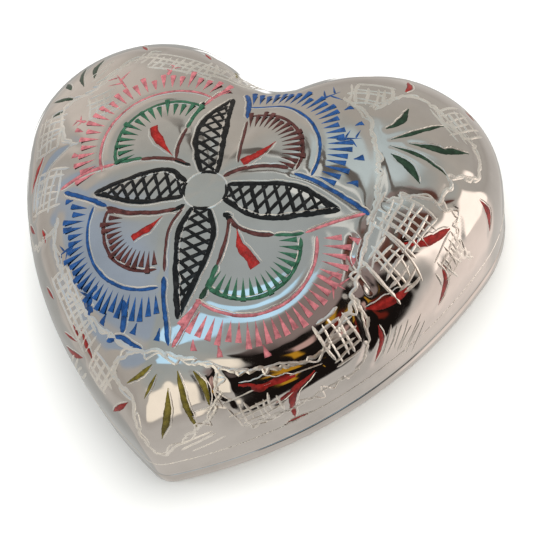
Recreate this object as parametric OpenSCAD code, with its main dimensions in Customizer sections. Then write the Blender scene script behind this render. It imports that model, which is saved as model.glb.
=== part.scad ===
// Heart-shaped metal music box: hinged engraved lid over a clockwork movement.
// +Z is up, the tip of the heart points along -Y, the hinges are at +Y.
// The origin is on the surface it stands on, below the middle of the whole box.

/* [Heart outline] */
// Width across the two lobes
heart_w = 110; // [98:0.5:132]
// Length from the top of the lobes to the tip
heart_l = 98; // [88:0.5:118]
// Radius of each round lobe
lobe_r = 27.7; // [25:0.1:30]
// Radius of the long side between a lobe and the tip
side_r = 101.3; // [90:0.1:130]
// Radius that rounds the tip
tip_r = 5.4; // [5:0.1:8]
// Radius that rounds the cleft between the lobes
cleft_r = 15.2; // [12:0.1:18]

/* [Lid] */
// Height of the whole box
box_h = 38.9; // [37.5:0.1:48]
// Height at which the straight side turns into the dome
shoulder_z = 9.3; // [8.5:0.1:11]
// Thickness of the lid's metal
lid_wall = 1.3; // [0.9:0.05:1.6]
// Exponent of the dome's plan, larger is flatter on top
dome_flat = 1.89; // [1.7:0.01:2.2]
// Exponent of the dome's height, larger is steeper at the side
dome_steep = 3.41; // [3:0.01:4]
// Distance from the middle of the box to the middle of the dome, towards the tip
dome_back = 1.85; // [0:0.05:4]

/* [Base] */
// Height of the base's visible band, up to the seam
seam_z = 3.2; // [2.8:0.05:4]
// Gap between the band and the lid's edge
seam_gap = 0.25; // [0.15:0.05:0.4]
// Gap all round between the lid's inside and the base's lip
lid_fit = 0.5; // [0.45:0.05:0.8]
// Thickness of the base's lip
lip_wall = 1.3; // [1:0.05:1.8]
// Height of the raised floor's upper face
floor_top = 10.8; // [10.2:0.1:12]
// Thickness of the raised floor
floor_t = 1.4; // [1:0.1:1.8]

/* [Hinges] */
// Radius of a knuckle
knuckle_r = 1.6; // [1.4:0.05:1.7]
// Gap between a knuckle and the side of the box
knuckle_gap = 0.4; // [0.3:0.05:0.6]
// Length of one hinge without the heads of its pin
hinge_w = 9; // [8:0.1:12]
// Radius of the hinge pin
pin_r = 0.7; // [0.5:0.05:0.8]
// Thickness of a hinge leaf
leaf_t = 0.8; // [0.6:0.05:0.9]

/* [Tray] */
// Height of the trinket tray
tray_h = 8; // [5:0.5:9]
// Wall thickness of the trinket tray
tray_wall = 1.2; // [0.8:0.1:1.6]
// Thickness of the padded bottom in the tray
pad_t = 1.6; // [1:0.1:2.5]
// Gap between the tray and the lid's inside
tray_gap = 1.8; // [1.4:0.1:3]

/* [Movement] */
// Thickness of the bedplate
bed_t = 2; // [1.6:0.1:2.4]
// Radius of the spring drum
drum_r = 10; // [9:0.1:10.2]
// Height of the spring drum
drum_h = 12; // [10:0.1:12.4]
// Radius of the winding arbor
arbor_r = 1.5; // [1.2:0.05:1.8]
// Radius of the pinned cylinder
cyl_r = 6.5; // [6:0.05:6.6]
// Length of the pinned cylinder
cyl_len = 19.4; // [17:0.1:19.6]
// Height of a pin above the cylinder
pin_out = 0.8; // [0.5:0.05:0.9]
// Number of comb teeth
comb_n = 18; // [12:1:22]
// Length of the comb's teeth
comb_len = 14; // [11:0.5:15]
// Span of the winding key
key_span = 22; // [16:0.5:26]

/* [Hidden] */

// Clearances shared by the pieces
run_fit = 0.05;      // radial clearance of a turning shaft
thin_fit = 0.04;     // radial clearance of a thin shaft
side_fit = 0.3;      // gap between neighbouring moving faces
step = 0.01;         // overlap that makes a cut clean
round_n = 48;

// Heart outline: each arc is described by its centre, and offset by changing its radius
hinge_out = knuckle_gap + 2 * knuckle_r;
tip_y = -(heart_l + hinge_out) / 2;
top_y = tip_y + heart_l;
lobe_c = [heart_w / 2 - lobe_r, top_y - lobe_r];
tip_c = [0, tip_y + tip_r];
cleft_c = [0, lobe_c.y + sqrt(pow(lobe_r + cleft_r, 2) - pow(lobe_c.x, 2))];
side_c = circles_meet(lobe_c, side_r - lobe_r, tip_c, side_r - tip_r);
dome_c = [0, -dome_back];

function heading(from, to) = atan2(to.y - from.y, to.x - from.x);
function on_circle(c, r, a) = [c.x + r * cos(a), c.y + r * sin(a)];
// The point left of both centres that is ra from a and rb from b
function circles_meet(a, ra, b, rb) =
    let(d = norm(b - a), u = (b - a) / d, x = (ra * ra - rb * rb + d * d) / (2 * d),
        h = sqrt(ra * ra - x * x))
    a + x * u + h * [u.y, -u.x];
function arc(c, r, a0, a1, n) = [for (i = [1:n]) on_circle(c, r, a0 + (a1 - a0) * i / n)];
// Right half of the outline, from the cleft to the tip, grown outwards by o
function half_outline(o) =
    let(a_cleft = heading(cleft_c, lobe_c), a_lobe = heading(lobe_c, cleft_c),
        a_side = heading(side_c, lobe_c), a_tip = heading(side_c, tip_c))
    concat([on_circle(cleft_c, cleft_r - o, -90)],
        arc(cleft_c, cleft_r - o, -90, a_cleft, 4),
        arc(lobe_c, lobe_r + o, a_lobe, a_side, 18),
        arc(side_c, side_r + o, a_side, a_tip, 11),
        arc(tip_c, tip_r + o, a_tip, -90, 4));
function outline(o) =
    let(h = half_outline(o), n = len(h))
    concat(h, [for (i = [n - 2:-1:1]) [-h[i].x, h[i].y]]);

module heart(o, z0, z1) {
    translate([0, 0, z0]) linear_extrude(z1 - z0) polygon(outline(o));
}

// Dome: outlines scaled about dome_c, at heights that follow a superellipse
function dome_t(rise) = pow(1 - pow(rise, dome_steep), 1 / dome_flat);
rises = [0, 0.12, 0.24, 0.36, 0.48, 0.58, 0.67, 0.75, 0.82, 0.88, 0.925, 0.96, 0.98, 0.992];
function dome_rings(o, h) = concat(
    [for (p = outline(o)) [p.x, p.y, seam_z + seam_gap]],
    [for (k = rises) each [for (p = outline(o))
        let(q = dome_c + dome_t(k) * (p - dome_c)) [q.x, q.y, shoulder_z + k * (h - shoulder_z)]]],
    [[dome_c.x, dome_c.y, h]]);

module lid_shell() {
    n = len(outline(0));
    rings = len(rises) + 1;
    apex = n * rings;
    count = apex + 1;
    outer = dome_rings(0, box_h);
    inner = dome_rings(-lid_wall, box_h - lid_wall);
    skin = [for (r = [0:rings - 2]) for (i = [0:n - 1])
        let(a = r * n + i, b = r * n + (i + 1) % n) each [[a, a + n, b + n], [a, b + n, b]]];
    cap = [for (i = [0:n - 1]) [(rings - 1) * n + i, apex, (rings - 1) * n + (i + 1) % n]];
    outside = concat(skin, cap);
    inside = [for (f = outside) [f[2] + count, f[1] + count, f[0] + count]];
    edge = [for (i = [0:n - 1]) let(j = (i + 1) % n) each [[i, j, j + count], [i, j + count, i + count]]];
    color("#b9b4ac") polyhedron(concat(outer, inner), concat(outside, inside, edge));
}

module base_shell() {
    lip = -lid_wall - lid_fit;
    color("#b9b4ac") difference() {
        union() {
            heart(0, 0, seam_z);
            heart(lip, seam_z - step, floor_top);
        }
        heart(lip - lip_wall, -1, floor_top - floor_t);
        translate([drum_x, axis_y, 0]) cylinder(h = floor_top + 1, r = arbor_r + 1, $fn = round_n);
        for (p = bed_screws) translate([p.x, p.y, 0])
            cylinder(h = floor_top + 1, r = bed_screw_r + run_fit, $fn = round_n);
    }
}

// Hinges: side is -1 for the left lobe and 1 for the right one
hinge_y = top_y + knuckle_gap + knuckle_r;
hinge_z = seam_z + 0.1;
knuckle_w = hinge_w / 3;
knuckle_side_gap = 0.15;

module knuckle(x0, x1) {
    translate([x0, hinge_y, hinge_z]) rotate([0, 90, 0]) cylinder(h = x1 - x0, r = knuckle_r, $fn = round_n);
}
module leaf_plate(side, half_w, z0, z1) {
    intersection() {
        difference() {
            heart(leaf_t, z0, z1);
            heart(0, z0 - 1, z1 + 1);
        }
        translate([side * lobe_c.x - half_w, lobe_c.y, z0]) cube([2 * half_w, lobe_r + 5, z1 - z0]);
    }
}
module pin_bore(side) {
    translate([side * lobe_c.x - hinge_w, hinge_y, hinge_z]) rotate([0, 90, 0])
        cylinder(h = 2 * hinge_w, r = pin_r + run_fit, $fn = round_n);
}
module lid_leaf(side) {
    mid = side * lobe_c.x;
    half = knuckle_w / 2 - knuckle_side_gap / 2;
    low = hinge_z + knuckle_r + side_fit;
    color("#c2beb6") difference() {
        union() {
            knuckle(mid - half, mid + half);
            leaf_plate(side, half, hinge_z, low);
            leaf_plate(side, hinge_w / 2, low - step, shoulder_z);
        }
        pin_bore(side);
    }
}
module base_leaf(side) {
    mid = side * lobe_c.x;
    half = knuckle_w / 2 + knuckle_side_gap / 2;
    color("#c2beb6") difference() {
        union() {
            knuckle(mid - hinge_w / 2, mid - half);
            knuckle(mid + half, mid + hinge_w / 2);
            leaf_plate(side, hinge_w / 2, 0.2, seam_z);
        }
        pin_bore(side);
        translate([mid, hinge_y, hinge_z]) rotate([0, 90, 0])
            cylinder(h = 2 * half, r = knuckle_r + side_fit, center = true, $fn = round_n);
    }
}
module hinge_pin(side) {
    head_t = 0.4;
    head_gap = 0.1;
    long = hinge_w + 2 * head_gap;
    color("#d0ccc4") translate([side * lobe_c.x, hinge_y, hinge_z]) rotate([0, 90, 0]) {
        cylinder(h = long, r = pin_r, center = true, $fn = round_n);
        for (s = [-1, 1]) translate([0, 0, s * (long + head_t) / 2])
            cylinder(h = head_t, r = pin_r + 0.4, center = true, $fn = round_n);
    }
}

// Trinket tray in the tip of the heart
module tray_body(o, z0, z1, y1) {
    intersection() {
        heart(o, z0, z1);
        translate([-heart_w, tip_y - 1, z0]) cube([2 * heart_w, y1 - tip_y + 1, z1 - z0]);
    }
}
module trinket_tray() {
    color("#5a2633") difference() {
        tray_body(tray_o, floor_top, floor_top + tray_h, tray_y);
        tray_body(tray_o - tray_wall, floor_top + tray_wall, floor_top + tray_h + 1, tray_y - tray_wall);
    }
}
module tray_pad() {
    gap = 0.1;
    low = floor_top + tray_wall;
    color("#7a3145") tray_body(tray_o - tray_wall - gap, low, low + pad_t, tray_y - tray_wall - gap);
}

// Movement: the drum and the cylinder share one line, x runs along the cylinder
bed_top = floor_top + bed_t;
cleft_gap = 22.4;                  // from the bottom of the cleft to the drum's axis
axis_y = round(10 * (cleft_c.y - cleft_r - cleft_gap)) / 10; // the drum's and the cylinder's middle
axis_z = bed_top + 8.1;            // height of the cylinder's axis
face_m = 0.5;                      // tooth size of the great wheel and its pinion
face_n = 48;
pinion_n = 12;
face_r = face_m * face_n / 2;      // radius where the great wheel meets the pinion
pinion_r = face_m * pinion_n / 2;
pinion_w = 1.2;
face_w = 1.9;                      // length of a great wheel tooth
drum_x = -14.5;
cyl_x = 0.1;                       // left end of the cylinder
spur_m = 0.4;                      // tooth size of the governor train
gear_n = 36;
gov_pinion_n = 9;
worm_n = 20;
gear_r = spur_m * gear_n / 2;
gear_x = cyl_x + cyl_len + 0.5;
gear_w = 1.2;
thin_r = 0.75;                     // radius of the cylinder's arbor
gov_r = 0.6;                       // radius of the governor's shafts
gov_y = axis_y + gear_r + spur_m * gov_pinion_n / 2;
worm_core_r = 0.95;
worm_pitch_r = 1.4;
worm_x = 26;
worm_y = gov_y + spur_m * worm_n / 2 + worm_pitch_r;
plate_a = [22.3, 23.5];            // left and right face of the inner governor plate
plate_b = [28.3, 29.3];
plate_top = axis_z + 4.9;
deck_t = 1;
tip_gap = 0.25;                    // gap between the pins and the comb
comb_tip_y = axis_y - cyl_r - pin_out - tip_gap;
comb_root = 7;                     // depth of the comb's solid part
comb_reach = axis_y - comb_tip_y + comb_len + comb_root;
comb_t = 0.7;
tray_o = -lid_wall - tray_gap;
tray_y = axis_y - comb_reach - 3.2;
bed_screw_r = 1.2;
bed_screws = [for (p = [[-24, -13], [-24, 13.5], [17, 12.5], [27, -23]]) p + [0, axis_y]];

module x_rod(x0, x1, y, z, r) {
    translate([x0, y, z]) rotate([0, 90, 0]) cylinder(h = x1 - x0, r = r, $fn = round_n);
}
module z_rod(x, y, z0, z1, r) {
    translate([x, y, z0]) cylinder(h = z1 - z0, r = r, $fn = round_n);
}
module slotted_screw(x, y, z, head_r, head_h, shank_r, shank_l) {
    difference() {
        union() {
            z_rod(x, y, z, z + head_h, head_r);
            z_rod(x, y, z - shank_l, z + step, shank_r);
        }
        translate([x - head_r, y - head_r / 8, z + head_h / 2]) cube([2 * head_r, head_r / 4, head_h]);
    }
}
// Flat toothed outline: straight-sided teeth, first one at angle 0
module teeth_outline(n, r_root, r_tip, w_root, w_tip) {
    a_root = asin(w_root / 2 / r_root);
    a_tip = asin(w_tip / 2 / r_tip);
    polygon([for (i = [0:n - 1]) let(a = 360 * i / n) each [
        on_circle([0, 0], r_root, a - a_root), on_circle([0, 0], r_tip, a - a_tip),
        on_circle([0, 0], r_tip, a + a_tip), on_circle([0, 0], r_root, a + a_root)]]);
}
// Toothed wheel that turns about X, its first tooth towards +Y turned by phase
module x_wheel(x0, x1, y, z, n, m, phase, bore) {
    r = m * n / 2;
    color("#b5954f") translate([x0, y, z]) rotate([phase, 0, 0]) rotate([90, 0, 90]) difference() {
        linear_extrude(x1 - x0) teeth_outline(n, r - 1.25 * m, r + 0.85 * m, 1.75 * m, 0.7 * m);
        translate([0, 0, -1]) cylinder(h = x1 - x0 + 2, r = bore, $fn = round_n);
    }
}

module bedplate() {
    front = axis_y - comb_reach - 1;
    color("#8f9193") difference() {
        union() {
            translate([-28, front + 8, floor_top]) cube([28, axis_y - front + 9, bed_t]);
            translate([-1.6, front, floor_top]) cube([guide.x + 3.4, axis_y - front + 17.6, bed_t]);
            translate([-1, front + 1, bed_top - step])
                cube([cyl_len + 2.2, comb_root - 0.2, axis_z - comb_t / 2 - bed_top + step]);
            for (s = [-1, 1]) z_rod(drum_x, axis_y + s * post_y, bed_top - step, bridge_z, post_r);
        }
        z_rod(drum_x, axis_y, floor_top - 1, bed_top + 1, arbor_r + run_fit);
        for (p = bed_screws) z_rod(p.x, p.y, floor_top - 1, bed_top + 1, bed_screw_r);
        for (s = [-1, 1]) z_rod(drum_x, axis_y + s * post_y, bridge_z - 4, bridge_z + 1, post_screw_r);
        for (x = comb_screw_x) z_rod(x, comb_screw_y, axis_z - 6, axis_z + 1, comb_screw_r);
        for (x = frame_screw_x) z_rod(x, frame_screw_y, floor_top - 1, bed_top + 1, frame_screw_r);
    }
}
module movement_screws() {
    color("#a9a9a9") for (p = bed_screws) translate([0, 0, 2 * (floor_top - floor_t)]) mirror([0, 0, 1])
        slotted_screw(p.x, p.y, floor_top - floor_t, 2.2, 1.2, bed_screw_r, floor_t + bed_t - 0.2);
}

// Winding side
drum_z = bed_top + 0.4;
post_y = 15.2;
post_r = 1.7;
post_screw_r = 0.8;
bridge_z = drum_z + drum_h + 1.4;
bridge_t = 1.5;
drum_wall = 0.8;
core_r = arbor_r + 1.1;

module spring_drum() {
    color("#b5954f") difference() {
        z_rod(drum_x, axis_y, drum_z, drum_z + drum_h, drum_r);
        z_rod(drum_x, axis_y, drum_z + drum_wall, drum_z + drum_h + 1, drum_r - drum_wall);
        z_rod(drum_x, axis_y, drum_z - 1, drum_z + 2, arbor_r + run_fit);
    }
}
module drum_cap() {
    color("#c4a45c") difference() {
        z_rod(drum_x, axis_y, drum_z + drum_h, drum_z + drum_h + drum_wall, drum_r);
        z_rod(drum_x, axis_y, drum_z + drum_h - 1, drum_z + drum_h + 2, arbor_r + run_fit);
    }
}
// Steel strip wound as an even spiral from the arbor's core to the drum's wall
module mainspring() {
    strip_t = 0.35;
    turns = 6;
    per_turn = 20;
    r0 = core_r + 0.15;
    r1 = drum_r - drum_wall - 0.15 - strip_t;
    function at(i, extra) = on_circle([0, 0], r0 + (r1 - r0) * i / (turns * per_turn) + extra, 360 * i / per_turn);
    color("#4d5a6b") translate([drum_x, axis_y, drum_z + drum_wall + 0.3])
        linear_extrude(drum_h - drum_wall - 0.6) polygon(concat(
            [for (i = [0:turns * per_turn]) at(i, 0)],
            [for (i = [turns * per_turn:-1:0]) at(i, strip_t)]));
}
module great_wheel() {
    tip = 0.85 * face_m;
    root = 1.1 * face_m;
    plane = axis_z - pinion_r;
    outer_r = face_r + face_w / 2;
    color("#b5954f") translate([drum_x, axis_y, 0]) difference() {
        union() {
            translate([0, 0, plane - root - 1.6]) cylinder(h = 1.6, r = outer_r, $fn = 96);
            for (i = [0:face_n - 1]) rotate([0, 0, 360 * i / face_n])
                translate([outer_r - face_w, 0, plane - root - step]) rotate([90, 0, 90])
                    linear_extrude(face_w - 0.02) polygon([[-0.85 * face_m, 0], [0.85 * face_m, 0],
                        [0.35 * face_m, tip + root + step], [-0.35 * face_m, tip + root + step]]);
        }
        translate([0, 0, plane - 5]) cylinder(h = 10, r = drum_r, $fn = 96);
    }
}
key_top = floor_top - floor_t - 0.5;
key_hub_r = arbor_r + 1.4;
key_low = 1.2;
key_seat = key_top - 4;
module winding_arbor() {
    color("#c8c8c8") {
        z_rod(drum_x, axis_y, key_seat, ratchet_z + ratchet_t + 0.5, arbor_r);
        z_rod(drum_x, axis_y, drum_z + drum_wall + 0.1, drum_z + drum_h - 0.1, core_r);
    }
}
module winding_key() {
    wing_t = 1.6;
    hole_r = 2.1;
    wing_r = (key_top - key_low) / 2 - 0.4;
    mid_z = key_low + wing_r;
    color("#c9a652") translate([drum_x, axis_y, 0]) difference() {
        union() {
            translate([0, 0, key_low + 1]) cylinder(h = key_top - key_low - 1, r = key_hub_r, $fn = round_n);
            for (s = [-1, 1]) translate([s * (key_span / 2 - wing_r), 0, mid_z]) rotate([90, 0, 0])
                cylinder(h = wing_t, r = wing_r, center = true, $fn = round_n);
            translate([0, 0, mid_z]) cube([key_span - 2 * wing_r, wing_t, 1.5 * wing_r], center = true);
        }
        for (s = [-1, 1]) translate([s * (key_span / 2 - wing_r), 0, mid_z]) rotate([90, 0, 0])
            cylinder(h = 2 * wing_t, r = hole_r, center = true, $fn = round_n);
        translate([0, 0, key_seat]) cylinder(h = key_top, r = arbor_r, $fn = round_n);
    }
}
module barrel_bridge() {
    color("#b5954f") difference() {
        union() {
            for (s = [-1, 1]) z_rod(drum_x, axis_y + s * post_y, bridge_z, bridge_z + bridge_t, 2.6);
            translate([drum_x - 2.6, axis_y - post_y, bridge_z]) cube([5.2, 2 * post_y, bridge_t]);
            z_rod(drum_x, axis_y, bridge_z, bridge_z + bridge_t, 5);
        }
        z_rod(drum_x, axis_y, bridge_z - 1, bridge_z + 4, arbor_r + run_fit);
        for (s = [-1, 1]) z_rod(drum_x, axis_y + s * post_y, bridge_z - 1, bridge_z + 4, post_screw_r + run_fit);
        z_rod(click_c.x, click_c.y, bridge_z - 1, bridge_z + 4, click_pin_r);
    }
}
module bridge_screws() {
    color("#a9a9a9") for (s = [-1, 1])
        slotted_screw(drum_x, axis_y + s * post_y, bridge_z + bridge_t, 1.6, 1, post_screw_r, 4);
}
ratchet_z = bridge_z + bridge_t + 0.25;
ratchet_t = 1;
ratchet_n = 14;
ratchet_r = 4.2;
click_pin_r = 0.7;
click_c = [drum_x + 1.2, axis_y + 10];
click_gap = 0.15;
module ratchet_wheel() {
    root_r = ratchet_r - 0.7;
    color("#9aa0a5") difference() {
        translate([drum_x, axis_y, ratchet_z]) linear_extrude(ratchet_t)
            polygon([for (i = [0:ratchet_n - 1]) let(a = 360 * i / ratchet_n) each [
                on_circle([0, 0], ratchet_r, a), on_circle([0, 0], root_r, a + 2)]]);
        z_rod(drum_x, axis_y, ratchet_z - 1, ratchet_z + 2, arbor_r);
    }
}
module click() {
    nose = [drum_x + 0.6, axis_y + ratchet_r + click_gap];
    color("#9aa0a5") difference() {
        union() {
            z_rod(click_c.x, click_c.y, ratchet_z, ratchet_z + ratchet_t, 1.5);
            translate([0, 0, ratchet_z]) linear_extrude(ratchet_t) polygon([
                [click_c.x - 1.3, click_c.y], [click_c.x + 1.3, click_c.y],
                [nose.x + 0.9, nose.y + 1.2], [nose.x - 0.4, nose.y + 0.05], [nose.x - 0.9, nose.y + 0.9]]);
        }
        z_rod(click_c.x, click_c.y, ratchet_z - 1, ratchet_z + 3, click_pin_r + run_fit);
    }
}
module click_screw() {
    color("#a9a9a9") slotted_screw(click_c.x, click_c.y, ratchet_z + ratchet_t + 0.1, 1.3, 0.8,
        click_pin_r, ratchet_t + 0.35 + bridge_t);
}
module click_spring() {
    x = click_c.x + 1.3 + 0.45;
    color("#4d5a6b") {
        translate([x, axis_y + 5.4, ratchet_z]) cube([0.25, 6.4, 0.8]);
        translate([x - 1.6, axis_y + 11.8, bridge_z + bridge_t]) cube([1.85, 1.4, 1.05]);
    }
}

// Cylinder
module pin_cylinder() {
    color("#c9a652") difference() {
        x_rod(cyl_x, cyl_x + cyl_len, axis_y, axis_z, cyl_r);
        x_rod(cyl_x - 1, cyl_x + cyl_len + 1, axis_y, axis_z, cyl_r - 0.8);
    }
}
module cylinder_ends() {
    color("#b5954f") for (x = [cyl_x + 0.2, cyl_x + cyl_len - 1.2]) difference() {
        x_rod(x, x + 1, axis_y, axis_z, cyl_r - 0.8);
        x_rod(x - 1, x + 2, axis_y, axis_z, thin_r);
    }
}
// One track of pins for each comb tooth, at angles drawn once and kept apart
comb_pitch = (cyl_len - 1.2) / comb_n;
pins_per_track = 5;
turns_seed = 20;
module cylinder_pins() {
    slot = 360 / pins_per_track;
    draws = rands(0.1, 0.9, comb_n * pins_per_track, turns_seed);
    color("#e0d2a0") for (i = [0:comb_n - 1]) for (k = [0:pins_per_track - 1])
        translate([comb_x(i), axis_y, axis_z]) rotate([slot * (k + draws[i * pins_per_track + k]), 0, 0])
            translate([0, 0, cyl_r]) cylinder(h = pin_out, r = 0.18, $fn = 16);
}
function comb_x(i) = cyl_x + 0.6 + comb_pitch * (i + 0.5);
arbor_x0 = drum_x + face_r - pinion_w / 2 - 0.3;
module cylinder_arbor() {
    color("#c8c8c8") x_rod(arbor_x0, plate_a[1] + 0.5, axis_y, axis_z, thin_r);
}
module cylinder_pinion() {
    x = drum_x + face_r - pinion_w / 2;
    x_wheel(x, x + pinion_w, axis_y, axis_z, pinion_n, face_m, 180 / pinion_n - 90, thin_r);
}
module cylinder_gear() {
    x_wheel(gear_x, gear_x + gear_w, axis_y, axis_z, gear_n, spur_m, 0, thin_r);
}
module left_bearing() {
    x0 = drum_x + face_r + face_w / 2 + side_fit;
    color("#8f9193") difference() {
        union() {
            translate([x0, axis_y - 2.5, bed_top]) cube([1, 5, axis_z - bed_top]);
            x_rod(x0, x0 + 1, axis_y, axis_z, 2.5);
        }
        x_rod(x0 - 1, x0 + 2, axis_y, axis_z, thin_r + thin_fit);
    }
}
comb_screw_x = [cyl_x + 4, cyl_x + cyl_len - 4];
comb_screw_y = comb_tip_y - comb_len - comb_root / 2;
comb_screw_r = 1;
module comb() {
    low = axis_z - comb_t / 2;
    color("#cfd1d3") difference() {
        union() {
            translate([cyl_x, comb_tip_y - comb_len - comb_root, low]) cube([cyl_len, comb_root, comb_t + 0.9]);
            for (i = [0:comb_n - 1]) translate([comb_x(i) - 0.36 * comb_pitch, comb_tip_y - comb_len - step, low])
                cube([0.72 * comb_pitch, comb_len + step, comb_t]);
        }
        for (x = comb_screw_x) z_rod(x, comb_screw_y, low - 1, low + 5, comb_screw_r + run_fit);
    }
}
module comb_screws() {
    color("#a9a9a9") for (x = comb_screw_x)
        slotted_screw(x, comb_screw_y, axis_z + comb_t / 2 + 0.9, 1.9, 1.2, comb_screw_r, 5);
}

// Governor
frame_screw_x = [plate_a[1] + 1.5, plate_b[0] - 0.4];
frame_screw_y = gov_y - 5;
frame_screw_r = 0.7;
foot_t = 1;
guide = [31.4, axis_y + 11.6];
rod_r = 0.8;
module governor_frame() {
    y0 = gov_y - 3;
    y1 = worm_y + 2.2;
    color("#b5954f") difference() {
        union() {
            translate([plate_a[0], axis_y - 3, bed_top]) cube([1.2, y0 - axis_y + 9, plate_top - bed_top - 2]);
            translate([plate_a[0], y0, bed_top]) cube([1.2, 6, plate_top - bed_top + step]);
            translate([plate_b[0], y0, bed_top]) cube([1, 6, plate_top - bed_top + step]);
            translate([plate_a[0], y0, plate_top]) cube([plate_b[1] - plate_a[0], y1 - y0, deck_t]);
            translate([plate_a[0], y0 - 4, bed_top]) cube([plate_b[1] - plate_a[0], y1 - y0 + 4, foot_t]);
            translate([plate_b[1] - step, guide.y - 1.6, plate_top]) cube([guide.x - plate_b[1], 3.2, deck_t]);
            z_rod(guide.x, guide.y, plate_top, plate_top + deck_t, 1.6);
        }
        x_rod(plate_a[0] - 1, plate_a[1] + 1, axis_y, axis_z, thin_r + thin_fit);
        x_rod(plate_a[0] - 1, plate_b[1] + 1, gov_y, axis_z, gov_r + thin_fit);
        z_rod(worm_x, worm_y, plate_top - 1, plate_top + 3, gov_r + thin_fit);
        z_rod(worm_x, worm_y, bed_top + 0.25, bed_top + 3, gov_r + thin_fit);
        z_rod(guide.x, guide.y, plate_top - 1, plate_top + 3, rod_r + run_fit);
        for (x = frame_screw_x) z_rod(x, frame_screw_y, bed_top - 1, bed_top + 3, frame_screw_r + run_fit);
    }
}
module frame_screws() {
    color("#a9a9a9") for (x = frame_screw_x)
        slotted_screw(x, frame_screw_y, bed_top + foot_t, 1.2, 0.8, frame_screw_r, foot_t + 1.5);
}
module governor_arbor() {
    color("#c8c8c8") x_rod(gear_x - 0.4, plate_b[1] + 0.2, gov_y, axis_z, gov_r);
}
module governor_pinion() {
    x_wheel(gear_x - 0.1, gear_x + gear_w + 0.1, gov_y, axis_z, gov_pinion_n, spur_m, 180 / gov_pinion_n + 180, gov_r);
}
module worm_wheel() {
    x_wheel(worm_x - 0.5, worm_x + 0.5, gov_y, axis_z, worm_n, spur_m, 0, gov_r);
}
// Screw thread: a four-sided ridge carried round by equal steps, right handed
module thread(r0, r1, w0, w1, lead, turns, phase) {
    per_turn = 14;
    n = turns * per_turn;
    points = [for (i = [0:n]) let(a = phase + 360 * i / per_turn, z = lead * (i / per_turn - turns / 2))
        each [[r0 * cos(a), r0 * sin(a), z - w0 / 2], [r1 * cos(a), r1 * sin(a), z - w1 / 2],
            [r1 * cos(a), r1 * sin(a), z + w1 / 2], [r0 * cos(a), r0 * sin(a), z + w0 / 2]]];
    sides = [for (i = [0:n - 1]) for (k = [0:3]) let(a = 4 * i + k, b = 4 * i + (k + 1) % 4)
        each [[a, b, b + 4], [a, b + 4, a + 4]]];
    polyhedron(points, concat([[3, 2, 1, 0]], sides, [[4 * n, 4 * n + 1, 4 * n + 2, 4 * n + 3]]));
}
module worm_shaft() {
    lead = PI * spur_m;
    turns = 5;
    color("#c8c8c8") {
        z_rod(worm_x, worm_y, bed_top + 0.3, fan_z + fan_h + 0.3, gov_r);
        z_rod(worm_x, worm_y, axis_z - lead * turns / 2 - 0.5, axis_z + lead * turns / 2 + 0.5, worm_core_r);
        // Half way up, the ridge is on the side away from the wheel's tooth
        translate([worm_x, worm_y, axis_z])
            thread(worm_core_r - 0.1, worm_pitch_r + 0.35, 0.7, 0.28, lead, turns, 90 - 180 * turns);
    }
}
fan_z = plate_top + deck_t + 0.4;
fan_h = 2;
fan_r = 3.7;
hub_r = 1.3;
module governor_fan() {
    color("#d8d4c8") difference() {
        union() {
            z_rod(worm_x, worm_y, fan_z, fan_z + fan_h, hub_r);
            translate([worm_x - fan_r, worm_y - 0.2, fan_z]) cube([2 * fan_r, 0.4, fan_h]);
        }
        z_rod(worm_x, worm_y, fan_z - 1, fan_z + fan_h + 1, gov_r);
    }
}
// Plunger that the closed lid holds down, with its finger on the fan's hub
finger_z = fan_z + fan_h + 0.45;
finger_t = 0.6;
collar_t = 0.6;
plunger_travel = 2;
collar_z = plate_top - plunger_travel - 0.4 - collar_t;
module stop_plunger() {
    reach = [worm_x - guide.x, worm_y - guide.y];
    color("#c8c8c8") {
        z_rod(guide.x, guide.y, bed_top + 0.2, finger_z + finger_t + 1.1, rod_r);
        z_rod(guide.x, guide.y, collar_z, collar_z + collar_t, 1.5);
        translate([guide.x, guide.y, finger_z]) rotate([0, 0, atan2(reach.y, reach.x)])
            translate([0, -0.6, 0]) cube([norm(reach) + 0.4, 1.2, finger_t]);
    }
}
module plunger_spring() {
    wire_r = 0.2;
    coil_r = rod_r + 0.4;
    turns = 6;
    per_turn = 12;
    z0 = bed_top + wire_r;
    z1 = collar_z - wire_r;
    n = turns * per_turn;
    sides = 6;
    points = [for (i = [0:n]) let(a = 360 * i / per_turn, z = z0 + (z1 - z0) * i / n)
        each [for (k = [0:sides - 1]) let(b = 360 * k / sides, r = coil_r + wire_r * cos(b))
            [r * cos(a), r * sin(a), z + wire_r * sin(b)]]];
    walls = [for (i = [0:n - 1]) for (k = [0:sides - 1])
        let(a = sides * i + k, b = sides * i + (k + 1) % sides)
        each [[b, a, a + sides], [b, a + sides, b + sides]]];
    color("#4d5a6b") translate([guide.x, guide.y, 0]) polyhedron(points, concat(
        [[for (k = [0:sides - 1]) k]], walls, [[for (k = [sides - 1:-1:0]) sides * n + k]]));
}

lid_shell();
lid_leaf(-1);  // lid_leaf_left
lid_leaf(1);  // lid_leaf_right
base_shell();
base_leaf(-1);  // base_leaf_left
base_leaf(1);  // base_leaf_right
hinge_pin(-1);  // hinge_pin_left
hinge_pin(1);  // hinge_pin_right
trinket_tray();
tray_pad();
bedplate();
movement_screws();
spring_drum();
drum_cap();
mainspring();
great_wheel();
winding_arbor();
winding_key();
barrel_bridge();
bridge_screws();
ratchet_wheel();
click();
click_screw();
click_spring();
pin_cylinder();
cylinder_ends();
cylinder_pins();
cylinder_arbor();
cylinder_pinion();
cylinder_gear();
left_bearing();
comb();
comb_screws();
governor_frame();
frame_screws();
governor_arbor();
governor_pinion();
worm_wheel();
worm_shaft();
governor_fan();
stop_plunger();
plunger_spring();
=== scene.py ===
"""Heart-shaped music box: plated lid with lacquered hand cuts, base, padded tray, movement and stage."""

import math

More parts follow.
